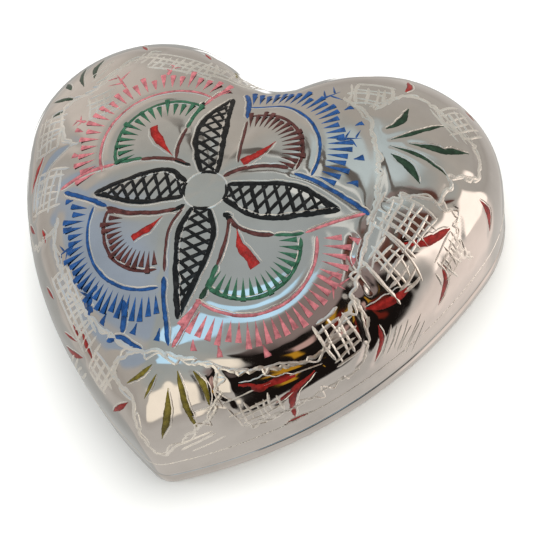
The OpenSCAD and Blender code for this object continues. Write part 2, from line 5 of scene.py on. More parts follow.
import bmesh
import bpy
import numpy as np
from bpy.props import FloatProperty, FloatVectorProperty, IntProperty, PointerProperty
from mathutils import Matrix, Vector


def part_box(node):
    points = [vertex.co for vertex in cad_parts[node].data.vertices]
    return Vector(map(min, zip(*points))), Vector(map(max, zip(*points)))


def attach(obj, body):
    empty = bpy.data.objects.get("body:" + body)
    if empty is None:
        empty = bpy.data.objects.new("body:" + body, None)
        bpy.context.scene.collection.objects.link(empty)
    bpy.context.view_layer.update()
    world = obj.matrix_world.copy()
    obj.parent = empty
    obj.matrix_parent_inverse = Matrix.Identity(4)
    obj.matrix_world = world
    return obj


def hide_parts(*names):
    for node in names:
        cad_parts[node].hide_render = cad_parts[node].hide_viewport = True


bl_info = {
    "name": "Heart music box",
    "version": (1, 0, 0),
    "blender": (4, 5, 0),
    "location": "3D Viewport > Sidebar > Music box",
    "description": "Builds the visible surfaces of a heart-shaped clockwork music box",
    "category": "Object",
}

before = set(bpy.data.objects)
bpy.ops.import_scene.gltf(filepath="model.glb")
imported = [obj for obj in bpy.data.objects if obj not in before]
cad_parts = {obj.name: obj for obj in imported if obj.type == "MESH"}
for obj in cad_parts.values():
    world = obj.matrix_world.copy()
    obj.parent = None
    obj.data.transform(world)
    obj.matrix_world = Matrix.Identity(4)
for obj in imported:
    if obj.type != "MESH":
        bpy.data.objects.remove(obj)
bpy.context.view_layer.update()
LID_LOW, LID_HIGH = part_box("lid_shell")
BASE_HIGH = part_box("base_shell")[1]
PAD_LOW, PAD_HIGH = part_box("tray_pad")
MM = 0.001
SEED = 7


def linear(hex_colour):
    """An sRGB hex colour as linear RGBA."""
    parts = [int(hex_colour[i : i + 2], 16) / 255 for i in (1, 3, 5)]
    return (*[c / 12.92 if c <= 0.04045 else ((c + 0.055) / 1.055) ** 2.4 for c in parts], 1.0)


def add_node(tree, kind, settings=(), links=()):
    """Adds one node. Settings go to its properties or inputs, links to its inputs, stops to its ramp."""
    node = tree.nodes.new(kind)
    for name, value in dict(settings).items():
        if name == "stops":
            ramp = node.color_ramp
            while len(ramp.elements) < len(value):
                ramp.elements.new(0.5)
            for element, (place, colour) in zip(ramp.elements, value):
                element.position, element.color = place, colour
        elif isinstance(name, int) or name in node.inputs:
            node.inputs[name].default_value = value
        else:
            setattr(node, name, value)
    for name, source in dict(links).items():
        tree.links.new(source, node.inputs[name])
    return node


# ---------------------------------------------------------------- sizes and colours


def length_setting(name, value, text):
    """A length, given in millimetres."""
    return FloatProperty(name=name, description=text, default=value * MM, unit="LENGTH")


def colour_setting(name, hex_colour, text):
    """A colour, given as an sRGB hex colour."""
    shown = linear(hex_colour)
    return FloatVectorProperty(name=name, description=text, subtype="COLOR", size=4, default=shown)


class BoxShape(bpy.types.PropertyGroup):
    """The heart's outline and the dome of the lid."""

    heart_w: length_setting("Width", 110.0, "Width across the two lobes")
    heart_l: length_setting("Length", 98.0, "Length from the lobes to the tip")
    lobe_r: length_setting("Lobe radius", 27.7, "Radius of each round lobe")
    side_r: length_setting("Side radius", 101.3, "Radius of the long sides")
    tip_r: length_setting("Tip radius", 5.4, "Radius that rounds the tip")
    cleft_r: length_setting("Cleft radius", 15.2, "Radius that rounds the cleft")
    shoulder: length_setting("Shoulder", 9.3, "Height where the side turns into the dome")
    dome_flat: FloatProperty(name="Dome plan", description="Larger is flatter", default=1.89)
    dome_steep: FloatProperty(name="Dome height", description="Larger is steeper at the edge", default=3.41)
    dome_back: length_setting("Dome offset", 1.85, "How far the dome's middle is towards the tip")
    lid_wall: length_setting("Lid metal", 1.3, "Thickness of the lid's metal")
    seam_z: length_setting("Seam", 3.2, "Height of the base's band")
    lip_gap: length_setting("Lip gap", 0.5, "Gap between the lid's inside and the base's lip")
    lip_wall: length_setting("Lip", 1.3, "Thickness of the base's lip")
    floor_t: length_setting("Floor", 1.4, "Thickness of the raised floor")
    columns: IntProperty(name="Columns", description="Faces round the heart", default=600, min=80)


class CutStyle(bpy.types.PropertyGroup):
    """How the hand cuts on the lid look."""

    ridge: length_setting("Ridge", 0.09, "Height of the lacquer in a cut")
    burr: length_setting("Burr", 0.12, "How far the thrown-up burr lies from the cut")
    bite: length_setting("Bite", 0.03, "Depth of a cut's edge below the plating")
    wobble: FloatProperty(
        name="Wobble", description="Unevenness of an edge, as a share of the width", default=0.16
    )
    blue: colour_setting("Blue", "#083F77", "Blue lacquer")
    pink: colour_setting("Pink", "#B0666C", "Pink lacquer")
    green: colour_setting("Green", "#27563F", "Green lacquer")
    brown: colour_setting("Brown", "#4A2320", "Brown lacquer")
    red: colour_setting("Red", "#8A130D", "Red lacquer")
    olive: colour_setting("Olive", "#665B14", "Olive lacquer")
    pine: colour_setting("Dark green", "#16301F", "Dark green lacquer")
    black: colour_setting("Black", "#040405", "Black lacquer")


class StageLight(bpy.types.PropertyGroup):
    """The soft studio light."""

    key: FloatProperty(name="Key", description="Power of the large soft light", default=14.0, unit="POWER")
    room: FloatProperty(name="Room", description="Strength of the light from all round", default=1.0)
    floor: colour_setting("Floor", "#FBFBFA", "Colour of the floor")


# ---------------------------------------------------------------- shape of the box


ARC_STEPS = 800  # steps of each of the heart's arcs, before they are spaced evenly


def heading(a, b):
    return math.atan2(b[1] - a[1], b[0] - a[0])


def heart(shape, grow, count):
    """The heart's outline grown outwards, as count evenly spaced points.

    They run from the cleft round the right lobe, the tip and the left lobe.
    """
    top = LID_HIGH[1]
    lobe = np.array([shape.heart_w / 2 - shape.lobe_r, top - shape.lobe_r])
    tip = np.array([0.0, top - shape.heart_l + shape.tip_r])
    cleft = np.array([0.0, lobe[1] + math.sqrt((shape.lobe_r + shape.cleft_r) ** 2 - lobe[0] ** 2)])
    far_lobe, far_tip = shape.side_r - shape.lobe_r, shape.side_r - shape.tip_r
    gap = np.linalg.norm(tip - lobe)
    along = (tip - lobe) / gap
    reach = (far_lobe**2 - far_tip**2 + gap**2) / (2 * gap)
    rise = math.sqrt(far_lobe**2 - reach**2)
    side = lobe + reach * along + rise * np.array([along[1], -along[0]])
    arcs = (
        (cleft, shape.cleft_r - grow, -math.pi / 2, heading(cleft, lobe)),
        (lobe, shape.lobe_r + grow, heading(lobe, cleft), heading(side, lobe)),
        (side, shape.side_r + grow, heading(side, lobe), heading(side, tip)),
        (tip, shape.tip_r + grow, heading(side, tip), -math.pi / 2),
    )
    fine = []
    for centre, radius, start, end in arcs:
        angle = np.linspace(start, end, ARC_STEPS)
        fine.append(centre + radius * np.column_stack([np.cos(angle), np.sin(angle)]))
    fine = np.concatenate(fine)
    length = np.r_[0, np.cumsum(np.linalg.norm(np.diff(fine, axis=0), axis=1))]
    even = np.linspace(0, length[-1], count // 2 + 1)
    half = np.column_stack([np.interp(even, length, fine[:, k]) for k in (0, 1)])
    half[0, 0] = half[-1, 0] = 0
    return np.concatenate([half, half[-2:0:-1] * [-1, 1]])


def dome_height(shape, t, top):
    """Height of the dome at the share t of the way from its middle to its edge."""
    fall = np.clip(1 - np.power(t, shape.dome_flat), 0, 1)
    return shape.shoulder + (top - shape.shoulder) * np.power(fall, 1 / shape.dome_steep)


HALF, GRID = 80.0, 0.3  # half the drawing's size and the spacing of its pressed depths, in millimetres
RIM_COUNT = 3600  # points of the outline that give its distance in every direction
RADII_COUNT, DOME_COUNT, SHARE_COUNT = 60, 900, 700  # steps of the tables of lengths along the metal


def between(table, row, column):
    """The table's value between its rows and columns."""
    row, column = (np.clip(at, 0, size - 1.001) for at, size in zip((row, column), table.shape))
    i, j = row.astype(int), column.astype(int)
    a, b = row - i, column - j
    near = table[i, j] * (1 - a) + table[i + 1, j] * a
    far = table[i, j + 1] * (1 - a) + table[i + 1, j + 1] * a
    return near * (1 - b) + far * b


class DomeChart:
    """Lays flat drawings on the lid: angles stay, and distances from the middle run along the metal."""

    def __init__(self, shape):
        self.middle = np.array([0.0, -shape.dome_back])
        edge = heart(shape, 0, RIM_COUNT) - self.middle
        angle = np.arctan2(edge[:, 1], edge[:, 0])
        order = np.argsort(angle)
        angle, radius = angle[order], np.hypot(*edge[order].T)
        self.angle = np.r_[angle[-1] - 2 * math.pi, angle, angle[0] + 2 * math.pi]
        self.radius = np.r_[radius[-1], radius, radius[0]]
        self.radii = np.linspace(radius.min(), radius.max(), RADII_COUNT)
        u = np.linspace(0, 1, DOME_COUNT)
        t = 1 - (1 - u) ** shape.dome_steep
        z = dome_height(shape, t, LID_HIGH[2])
        run = np.hypot(np.diff(t)[None] * self.radii[:, None], np.diff(z)[None])
        length = np.concatenate([np.zeros((len(self.radii), 1)), np.cumsum(run, axis=1)], axis=1)
        self.ends = length[:, -1]
        self.share = np.linspace(0, 1, SHARE_COUNT)
        self.t_of = np.array([np.interp(self.share * row[-1], row, t) for row in length])
        self.shape = shape
        self.pressed = np.zeros((int(2 * HALF / GRID) + 1,) * 2)

    def end_of(self, angle):
        """How far from the middle the dome's edge is, along the metal."""
        return np.interp(np.interp(angle, self.angle, self.radius), self.radii, self.ends)

    def bare(self, xy):
        """Points on the smooth lid for points of the drawing, in metres."""
        angle = np.arctan2(xy[:, 1], xy[:, 0])
        distance = np.hypot(xy[:, 0], xy[:, 1])
        radius = np.interp(angle, self.angle, self.radius)
        end = np.interp(radius, self.radii, self.ends)
        row = (radius - self.radii[0]) / (self.radii[1] - self.radii[0])
        column = np.clip(distance / end, 0, 1) * (len(self.share) - 1.001)
        t = between(self.t_of, row, column)
        z = dome_height(self.shape, t, LID_HIGH[2]) - np.clip(distance - end, 0, None)
        plan = self.middle + (t * radius)[:, None] * np.column_stack([np.cos(angle), np.sin(angle)])
        return np.column_stack([plan, z])

    def normals(self, xy):
        """The smooth lid's outward direction there."""
        e = 0.05 * MM
        east = self.bare(xy + [e, 0]) - self.bare(xy - [e, 0])
        north = self.bare(xy + [0, e]) - self.bare(xy - [0, e])
        n = np.cross(east, north)
        return n / np.maximum(np.linalg.norm(n, axis=1), 1e-12)[:, None]

    def press(self, lines, depth, spread):
        """Presses a soft valley, in millimetres, into the metal along each line, as a graver does."""
        reach, size = int(3 * spread / GRID) + 1, len(self.pressed)
        for points in lines:
            for x, y in points:
                i, j = int(round((x + HALF) / GRID)), int(round((y + HALF) / GRID))
                if min(i, j) <= reach or max(i, j) >= size - reach:
                    continue
                spots = slice(i - reach, i + reach + 1), slice(j - reach, j + reach + 1)
                u = (np.arange(i - reach, i + reach + 1) * GRID - HALF - x)[:, None]
                v = (np.arange(j - reach, j + reach + 1) * GRID - HALF - y)[None]
                here = depth * np.exp(-(u**2 + v**2) / (2 * spread**2))
                self.pressed[spots] = np.maximum(self.pressed[spots], here)

    def lifted(self, xy, lift):
        """Points on the pressed lid, raised by lift, in metres."""
        down = between(self.pressed, *((xy / MM + HALF) / GRID).T)
        return self.bare(xy) + self.normals(xy) * (np.asarray(lift) - down * MM)[:, None]


def object_from(name, points, faces, material, smooth=True):
    """A closed mesh object at the origin, its faces pointing outwards."""
    mesh = bpy.data.meshes.new(name)
    mesh.from_pydata([tuple(p) for p in np.asarray(points, float)], [], faces)
    work = bmesh.new()
    work.from_mesh(mesh)
    bmesh.ops.recalc_face_normals(work, faces=work.faces)
    work.to_mesh(mesh)
    work.free()
    mesh.polygons.foreach_set("use_smooth", [smooth] * len(mesh.polygons))
    mesh.materials.append(material)
    mesh.update()
    made = bpy.data.objects.new(name, mesh)
    bpy.context.scene.collection.objects.link(made)
    return made


def skin(rings, end_point=None):
    """Points and faces of closed rings of equal count joined in order, closed by a last point if given."""
    n = len(rings[0])
    points = np.concatenate(rings)
    faces = []
    for r in range(len(rings) - 1):
        for i in range(n):
            j = (i + 1) % n
            faces.append((r * n + i, r * n + j, (r + 1) * n + j, (r + 1) * n + i))
    if end_point is not None:
        points = np.concatenate([points, [end_point]])
        apex, first = len(points) - 1, (len(rings) - 1) * n
        faces += [(first + i, first + (i + 1) % n, apex) for i in range(n)]
    return points, faces


def plain_mesh(piece):
    """The piece's mesh with its modifiers worked in."""
    ready = piece.evaluated_get(bpy.context.evaluated_depsgraph_get())
    return bpy.data.meshes.new_from_object(ready)


def settle(piece):
    """Leaves the piece as a plain mesh, without its modifiers."""
    plain, old = plain_mesh(piece), piece.data
    piece.modifiers.clear()
    piece.data = plain
    bpy.data.meshes.remove(old)


def at_height(plan, z):
    return np.column_stack([plan, np.full(len(plan), z)])


# ---------------------------------------------------------------- materials


def new_material(name):
    """An empty material, its node tree, and the coordinates that its textures start from."""
    material = bpy.data.materials.new(name)
    material.use_nodes = True
    tree = material.node_tree
    tree.nodes.clear()
    place = add_node(tree, "ShaderNodeTexCoord").outputs["Object"]
    return material, tree, place


def plated(name, light, dark, rough, smudge, wave_mm, wave, grit=0.0):
    """Electroplated metal: a mirror with faint polishing waves, dulling smudges and a little grit."""
    material, tree, place = new_material(name)
    cloud = add_node(
        tree, "ShaderNodeTexNoise", {"Scale": 60.0, "Detail": 4.0, "Roughness": 0.6}, {"Vector": place}
    )
    tint = add_node(
        tree, "ShaderNodeValToRGB", {"stops": [(0.35, dark), (0.65, light)]}, {"Fac": cloud.outputs["Fac"]}
    )
    wipe = add_node(
        tree, "ShaderNodeTexNoise", {"Scale": 150.0, "Detail": 6.0, "Distortion": 0.6}, {"Vector": place}
    )
    dull = add_node(
        tree, "ShaderNodeMapRange",
        {"From Min": 0.42, "From Max": 0.72, "To Min": rough, "To Max": rough + smudge},
        {"Value": wipe.outputs["Fac"]},
    )
    waves = add_node(
        tree, "ShaderNodeTexNoise", {"Scale": 1 / (wave_mm * MM), "Detail": 1.0}, {"Vector": place}
    )
    bump = add_node(
        tree, "ShaderNodeBump", {"Strength": wave, "Distance": 0.2 * MM}, {"Height": waves.outputs["Fac"]}
    )
    if grit:
        specks = add_node(tree, "ShaderNodeTexNoise", {"Scale": 2500.0, "Detail": 2.0}, {"Vector": place})
        bump = add_node(
            tree, "ShaderNodeBump", {"Strength": grit, "Distance": 0.03 * MM},
            {"Height": specks.outputs["Fac"], "Normal": bump.outputs["Normal"]},
        )
    shader = add_node(
        tree, "ShaderNodeBsdfPrincipled", {"Metallic": 1.0},
        {
            "Base Color": tint.outputs["Color"], "Roughness": dull.outputs["Result"],
            "Normal": bump.outputs["Normal"]
        },
    )
    add_node(tree, "ShaderNodeOutputMaterial", (), {"Surface": shader.outputs["BSDF"]})
    return material


def lacquer(name, colour):
    """Baked lacquer brushed into a hand cut: gloss over pigment that pools unevenly and thins in places."""
    material, tree, place = new_material(name)
    pool = add_node(
        tree, "ShaderNodeTexNoise", {"Scale": 700.0, "Detail": 5.0, "Roughness": 0.65}, {"Vector": place}
    )
    deep = (*[c * 0.4 for c in colour[:3]], 1.0)
    thin = (*[min(1.0, c * 1.5 + 0.015) for c in colour[:3]], 1.0)
    tint = add_node(
        tree, "ShaderNodeValToRGB", {"stops": [(0.30, deep), (0.52, colour), (0.74, thin)]},
        {"Fac": pool.outputs["Fac"]}
    )
    # painted shade: the lacquer is darkened towards the walls of the cut, where the cut's edges shade it
    rim = add_node(tree, "ShaderNodeAttribute", {"attribute_name": "edge"})
    shade = add_node(
        tree, "ShaderNodeMapRange", {"From Min": 0.3, "From Max": 0.95, "To Min": 0.0, "To Max": 0.85},
        {"Value": rim.outputs["Fac"]}
    )
    tint = add_node(
        tree, "ShaderNodeMix", {"data_type": "RGBA", 7: (*[c * 0.2 for c in colour[:3]], 1.0)},
        {0: shade.outputs["Result"], 6: tint.outputs["Color"]},
    )
    rough = add_node(
        tree, "ShaderNodeMapRange", {"To Min": 0.22, "To Max": 0.5}, {"Value": pool.outputs["Fac"]}
    )
    drag = add_node(tree, "ShaderNodeTexNoise", {"Scale": 1800.0, "Detail": 3.0}, {"Vector": place})
    bump = add_node(
        tree, "ShaderNodeBump", {"Strength": 0.6, "Distance": 0.06 * MM}, {"Height": drag.outputs["Fac"]}
    )
    shader = add_node(
        tree, "ShaderNodeBsdfPrincipled",
        {"Specular IOR Level": 0.25, "Coat Weight": 0.08, "Coat Roughness": 0.1},
        {
            "Base Color": tint.outputs[2], "Roughness": rough.outputs["Result"],
            "Normal": bump.outputs["Normal"]
        },
    )
    add_node(tree, "ShaderNodeOutputMaterial", (), {"Surface": shader.outputs["BSDF"]})
    return material


def worked_metal(name, light, dark, rough, grain, stretch, depth):
    """Machined metal: fine tool marks stretched along one direction, with darker, duller streaks between."""
    material, tree, place = new_material(name)
    turned = add_node(tree, "ShaderNodeMapping", {"Scale": stretch}, {"Vector": place})
    marks = add_node(
        tree, "ShaderNodeTexNoise", {"Scale": grain, "Detail": 5.0}, {"Vector": turned.outputs["Vector"]}
    )
    tint = add_node(
        tree, "ShaderNodeValToRGB", {"stops": [(0.3, dark), (0.7, light)]}, {"Fac": marks.outputs["Fac"]}
    )
    dull = add_node(
        tree, "ShaderNodeMapRange", {"To Min": rough * 0.75, "To Max": rough * 1.4},
        {"Value": marks.outputs["Fac"]}
    )
    bump = add_node(
        tree, "ShaderNodeBump", {"Strength": depth, "Distance": 0.04 * MM}, {"Height": marks.outputs["Fac"]}
    )
    shader = add_node(
        tree, "ShaderNodeBsdfPrincipled", {"Metallic": 1.0},
        {
            "Base Color": tint.outputs["Color"], "Roughness": dull.outputs["Result"],
            "Normal": bump.outputs["Normal"]
        },
    )
    add_node(tree, "ShaderNodeOutputMaterial", (), {"Surface": shader.outputs["BSDF"]})
    return material


def velvet(name, light, dark, pile_mm):
    """Flocked or woven velvet: a short dense pile that shades with its lie and glows at grazing angles."""
    material, tree, place = new_material(name)
    nap = add_node(
        tree, "ShaderNodeTexNoise", {"Scale": 110.0, "Detail": 3.0, "Distortion": 0.8}, {"Vector": place}
    )
    pile = add_node(tree, "ShaderNodeTexVoronoi", {"Scale": 1 / (pile_mm * MM)}, {"Vector": place})
    both = add_node(
        tree, "ShaderNodeMath", {"operation": "MULTIPLY_ADD", 1: 0.45},
        {0: pile.outputs["Distance"], 2: nap.outputs["Fac"]},
    )
    tint = add_node(
        tree, "ShaderNodeValToRGB", {"stops": [(0.35, dark), (0.85, light)]}, {"Fac": both.outputs[0]}
    )
    bump = add_node(
        tree, "ShaderNodeBump", {"Strength": 0.6, "Distance": 0.15 * MM}, {"Height": pile.outputs["Distance"]}
    )
    shader = add_node(
        tree, "ShaderNodeBsdfPrincipled",
        {"Roughness": 0.92, "Sheen Weight": 0.6, "Sheen Roughness": 0.35, "Sheen Tint": light},
        {"Base Color": tint.outputs["Color"], "Normal": bump.outputs["Normal"]},
    )
    add_node(tree, "ShaderNodeOutputMaterial", (), {"Surface": shader.outputs["BSDF"]})
    return material


def moulded(name, light, dark, rough, grain, metal=0.0):
    """Moulded or cast stock with a fine even grain from the mould."""
    material, tree, place = new_material(name)
    skin_grain = add_node(
        tree, "ShaderNodeTexNoise", {"Scale": grain, "Detail": 6.0, "Roughness": 0.7}, {"Vector": place}
    )
    tint = add_node(
        tree, "ShaderNodeValToRGB", {"stops": [(0.3, dark), (0.7, light)]}, {"Fac": skin_grain.outputs["Fac"]}
    )
    bump = add_node(
        tree, "ShaderNodeBump", {"Strength": 0.4, "Distance": 0.08 * MM},
        {"Height": skin_grain.outputs["Fac"]}
    )
    shader = add_node(
        tree, "ShaderNodeBsdfPrincipled", {"Metallic": metal, "Roughness": rough},
        {"Base Color": tint.outputs["Color"], "Normal": bump.outputs["Normal"]},
    )
    add_node(tree, "ShaderNodeOutputMaterial", (), {"Surface": shader.outputs["BSDF"]})
    return material


# ---------------------------------------------------------------- lid


SIDE_RINGS, DOME_RINGS, INNER_RINGS = 9, 126, 22  # rings of the lid's side, dome and inside
EDGE_ROLL = 0.2 * MM  # how far the lid's lower edge is rolled over


class MUSICBOX_OT_lid(bpy.types.Operator):
    """Makes the plated lid: one sheet of metal domed over the heart, with a rolled lower edge"""

    bl_idname = "musicbox.lid"
    bl_label = "Lid"

    def execute(self, context):
        shape, chart = context.scene.musicbox_shape, worked_chart()
        n, wall, low, roll = shape.columns, shape.lid_wall, LID_LOW[2], EDGE_ROLL
        outer, inner = heart(shape, 0, n), heart(shape, -wall, n)
        middle, flat = chart.middle, np.zeros(n)
        across, along = (outer - middle).T
        angle = np.arctan2(along, across)
        ray = np.column_stack([np.cos(angle), np.sin(angle)])
        end = chart.end_of(angle)
        rings = [
            at_height(heart(shape, -roll, n), low),
            at_height(heart(shape, -roll * 0.3, n), low + roll * 0.3),
        ]
        for down in np.linspace(shape.shoulder - low - roll, 0.0, SIDE_RINGS):
            rings.append(chart.lifted(ray * (end + down)[:, None], flat))
        for share in np.linspace(1, 0, DOME_RINGS)[1:-1]:
            rings.append(chart.lifted(ray * (end * share)[:, None], flat))
        points, faces = skin(rings, chart.lifted(np.array([[1e-9, 0.0]]), [0.0])[0])
        ceiling = LID_HIGH[2] - wall
        rings = [
            at_height(heart(shape, -wall + roll, n), low),
            at_height(inner, low + roll),
            at_height(inner, shape.shoulder),
        ]
        for u in np.linspace(0, 1, INNER_RINGS)[1:-1]:
            t = 1 - u**shape.dome_steep
            rings.append(at_height(middle + t * (inner - middle), float(dome_height(shape, t, ceiling))))
        more, more_faces = skin(rings, (*middle, ceiling))
        shift = len(points)
        faces += [tuple(i + shift for i in face) for face in more_faces]
        faces += [(i, (i + 1) % n, shift + (i + 1) % n, shift + i) for i in range(n)]
        lid = object_from("lid_dome", np.concatenate([points, more]), faces, finish("nickel"))
        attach(lid, "lid")
        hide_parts("lid_shell")
        return {"FINISHED"}


# The drawing on the lid, in millimetres from the dome's middle.
# A stroke is its width and the points that it runs through.
PETALS = (  # tip, then the bulge of each side
    ((28, 2.8), (17.5, 5.4), (14, -3.4)),
    ((-25, -3.8), (-11, 3.3), (-14, -5.2)),
    ((-4.2, 27.5), (-7.2, 14.5), (-0.8, 13)),
    ((3.4, -28.4), (-1.9, -12), (5.4, -11.5)),
)
FANS = (  # middle, arc from and to in degrees, inner colour and radius, outer colour and radius
    ((-12.3, 10.3), (72, 215), "green", 12.0, "pink", 15.6),
    ((5.3, 11.5), (-11, 109), "brown", 11.5, "blue", 15.0),
    ((-8.5, -8.7), (174, 293), "brown", 11.5, "blue", 15.5),
    ((11.7, -10.0), (-113, 24), "green", 11.5, "pink", 14.8),
)
STROKES = {
    "brown": (
        (1.3, (2.5, 4), (5.5, 6.6), (8.7, 8.1), (12, 9), (15, 9.2)),
        (1.2, (6.5, -4.9), (9, -6.6), (13, -7.2), (17, -6.4)),
        (1.2, (-6.2, 5.6), (-9.5, 6.2), (-14, 5.8), (-17, 5.2)),
        (1.3, (-4.2, -5.4), (-8.7, -7), (-15, -7.8), (-20.6, -7)),
        (1.0, (-9, 6.4), (-9.8, 10), (-9.8, 15)),
        (0.9, (4.4, 8), (3.2, 13.7), (1.8, 20.4)),
        (0.8, (-3, -4.6), (-4.4, -9.5), (-3.8, -14), (-2.2, -19.5)),
        (0.9, (7, -5.2), (7.9, -9.5), (7.9, -16)),
    ),
    "blue": (
        (1.3, (16.5, 8.3), (21, 7.8), (27, 6.2), (34, 4)),
        (1.3, (-20.6, -6.8), (-25, -5.6), (-33.4, -3.6)),
        (1.4, (1.3, 21.5), (0, 26), (-2.5, 31)),
        (1.3, (-1.9, -20.5), (-0.4, -25), (3.1, -33.9)),
        (1.6, (-9.4, -26.6), (-8.2, -30.2), (-7.8, -33.4)),
        (1.6, (-11.4, -35.4), (-7.8, -34.2), (-4.6, -35.4), (-2.2, -36.2)),
        (2.0, (-17.4, -27.4), (-18.4, -28.6), (-16.6, -29.8)),
    ),
    "green": (
        (1.0, (17, -6.4), (20, -5.4), (22.6, -4.2)),
        (1.1, (-16.6, 5.4), (-19.6, 4.6), (-23, 3.4)),
        (1.0, (-9.8, 14.8), (-9.6, 18.5), (-8.7, 22)),
        (1.4, (7.9, -15.5), (7.6, -18.6), (7.3, -21)),
    ),
    "pink": (
        (0.9, (22.8, -4.0), (27.5, 0), (33, 4)),
        (1.2, (-22.6, 3.4), (-28.7, 1.2), (-34.9, -3)),
        (1.0, (-8.8, 22.4), (-7.8, 26), (-6, 30.4)),
        (1.3, (6.8, -23), (5.6, -28), (3.9, -34)),
    ),
    "black": (
        (1.7, (5.6, -4.4), (7.6, -5.6)),
        (1.2, (-5.2, 5.2), (-9.6, 6.2)),
        (1.2, (-3, -4.2), (-5.4, -6.6)),
        (1.2, (-8.9, 21.6), (-9.3, 23.4)),
    ),
    "red": (
        (2.5, (-10.1, 7.0), (-14.6, 10.6), (-17.4, 13.9)),
        (2.7, (10.2, 15.2), (8.2, 11.6), (5.2, 8.2)),
        (2.3, (-6.8, -7.6), (-8.6, -10.4), (-11.7, -13.6)),
        (2.8, (9.3, -7.0), (11.4, -10.6), (15.5, -13.8)),
        (2.0, (55, 19.5), (59, 19.6), (63, 18.7)),
        (3.2, (42.4, 1.4), (46.4, 3.6), (50.8, 9.4)),
        (2.9, (52.5, 2.7), (57, 1), (60.4, -2.7)),
        (3.2, (39.6, -14.2), (44.4, -10.4), (47.9, -5)),
        (2.1, (44.3, -15.8), (48.4, -18.8), (50.9, -23.3)),
        (1.9, (31, 44.8), (31.9, 42), (31.5, 39.3)),
        (1.3, (45.6, 43.4), (48.4, 41.6)),
        (3.6, (18.5, -38), (24, -36.8), (30.2, -33)),
        (2.9, (34.2, -30.6), (31.4, -37.5), (35.8, -45.6)),
        (1.2, (31.2, -36.4), (28.1, -40.9)),
        (1.1, (33.8, -47.7), (39.7, -43.4)),
        (1.2, (-22.8, -32.8), (-20, -36)),
        (0.9, (-27, -35), (-21.3, -36.6)),
        (1.7, (-19.6, -33.8), (-15, -40.2)),
        (2.0, (-28.4, -38.6), (-24, -39.8), (-19.2, -40)),
        (1.6, (-9.7, -51.1), (-3.8, -47)),
        (1.2, (-35.2, -24.8), (-31.4, -27.6)),
        (1.7, (-44.6, 6.7), (-46.7, -1.7)),
        (1.5, (-38.4, -11.7), (-36.4, -14.9)),
        (1.4, (-47.4, -8.8), (-42.5, -11.9)),
        (1.2, (-35.2, 43.9), (-31.8, 40.5)),
        (1.0, (-18.2, 43.4), (-15.5, 40.8)),
    ),
    "pine": (
        (1.8, (31, 25.5), (33.4, 29), (33.8, 33.4)),
        (1.4, (32.8, 23), (37, 27), (42.2, 32.2)),
        (2.3, (36.6, 23.5), (43, 24.8), (49.2, 27.9)),
        (1.2, (33, 21.4), (40, 21.2), (46.7, 19.4)),
        (2.2, (33.8, 19.4), (38, 17.8), (41.4, 14.8)),
        (2.0, (-42.4, 37.4), (-42, 33), (-40, 28.5)),
        (1.5, (-46.6, 34.7), (-45, 30.4), (-41.5, 25.8)),
        (1.7, (-49.2, 29.2), (-45.3, 25.5)),
        (1.5, (-49.7, 22.7), (-41.8, 21.9)),
        (1.2, (-46.9, 17), (-43.5, 18.8)),
        (1.6, (7.4, -20.4), (6.6, -23.8)),
    ),
    "olive": (
        (1.5, (0.8, -38.2), (-1.4, -40.9), (-4.5, -43)),
        (1.0, (2.1, -39.8), (0.3, -45.3)),
        (1.8, (4.8, -42), (5.2, -48), (4, -54.5)),
        (1.8, (6, -38.2), (8.6, -44.5), (11.4, -50.2)),
        (1.9, (9.1, -37.4), (11.9, -40.2), (13.5, -44)),
        (1.1, (-10, 42.2), (-8, 37.5)),
    ),
}
REACH = 23.0  # the red cuts inside this radius are the hearts of the fans
TWIGS = {  # short branched sprigs round the fans: root, tip
    "pink": (
        ((-34.6, 14.2), (-38, 14.8)), ((-21, 30), (-21.2, 34.8)), ((27.6, -11.6), (34, -12.4)),
        ((-29, 24.6), (-34, 29.4)),
    ),
    "blue": (
        ((14.6, 29), (18.4, 33.8)), ((22, 19.2), (27, 21)), ((-26, -16), (-30.6, -18.4)),
        ((-16.6, -24.4), (-20.6, -28.4)),
    ),
}
TRIANGLES = {  # loose triangular nicks outside the fans
    "pink": ((-36, 12), (-34, 5.3), (8, -33), (13.4, -32.8), (33, -2), (33.4, -6.2), (22.5, -30)),
    "blue": (
        (22, 29), (25.6, 25), (28.4, 16), (29, 9.7), (-31.4, -6), (-29.7, -12.5), (-23.4, -23.4),
        (-17.8, -30), (-13.4, -31.5), (-5, -32.5), (0.6, -32.8),
    ),
}
SCALLOPS = (  # rough bright lines that frame the flower and the sprays
    (
        (20, 32.5), (26, 28), (28.7, 23.7), (31, 18.7), (33.7, 10.6), (34.4, 4.4), (35, -3.7),
        (36, -16), (34.4, -25), (30, -30), (22.5, -33.7), (14.4, -35.6), (3, -35.4), (-2, -36),
        (-8.7, -34.7), (-21, -29), (-27.5, -22.5), (-32.5, -16), (-33.7, -10),
    ),
    (
        (27, 30), (30, 36), (34, 38.5), (39, 37.5), (42, 33.5), (50, 31.5), (53, 23.5), (47, 20),
        (47.5, 17.5), (46.5, 12.5),
    ),
    (
        (-3, -36.4), (-8.4, -39), (-7.4, -43), (-2.7, -46), (-1.4, -52), (3, -61.5), (10.8, -51.7),
        (15, -45), (14, -37),
    ),
    ((36, 8), (41, 11.5), (50, 13), (55, 9), (62, 10.5)),
    ((35.5, -13), (42, -17.5), (47, -26), (42, -33), (33, -43), (24, -50)),
    ((-35, 8), (-41, 12), (-44, 20), (-38, 24), (-34, 33), (-28, 39.5)),
    ((-34, -12), (-40, -15), (-46, -14), (-50, -6)),
)
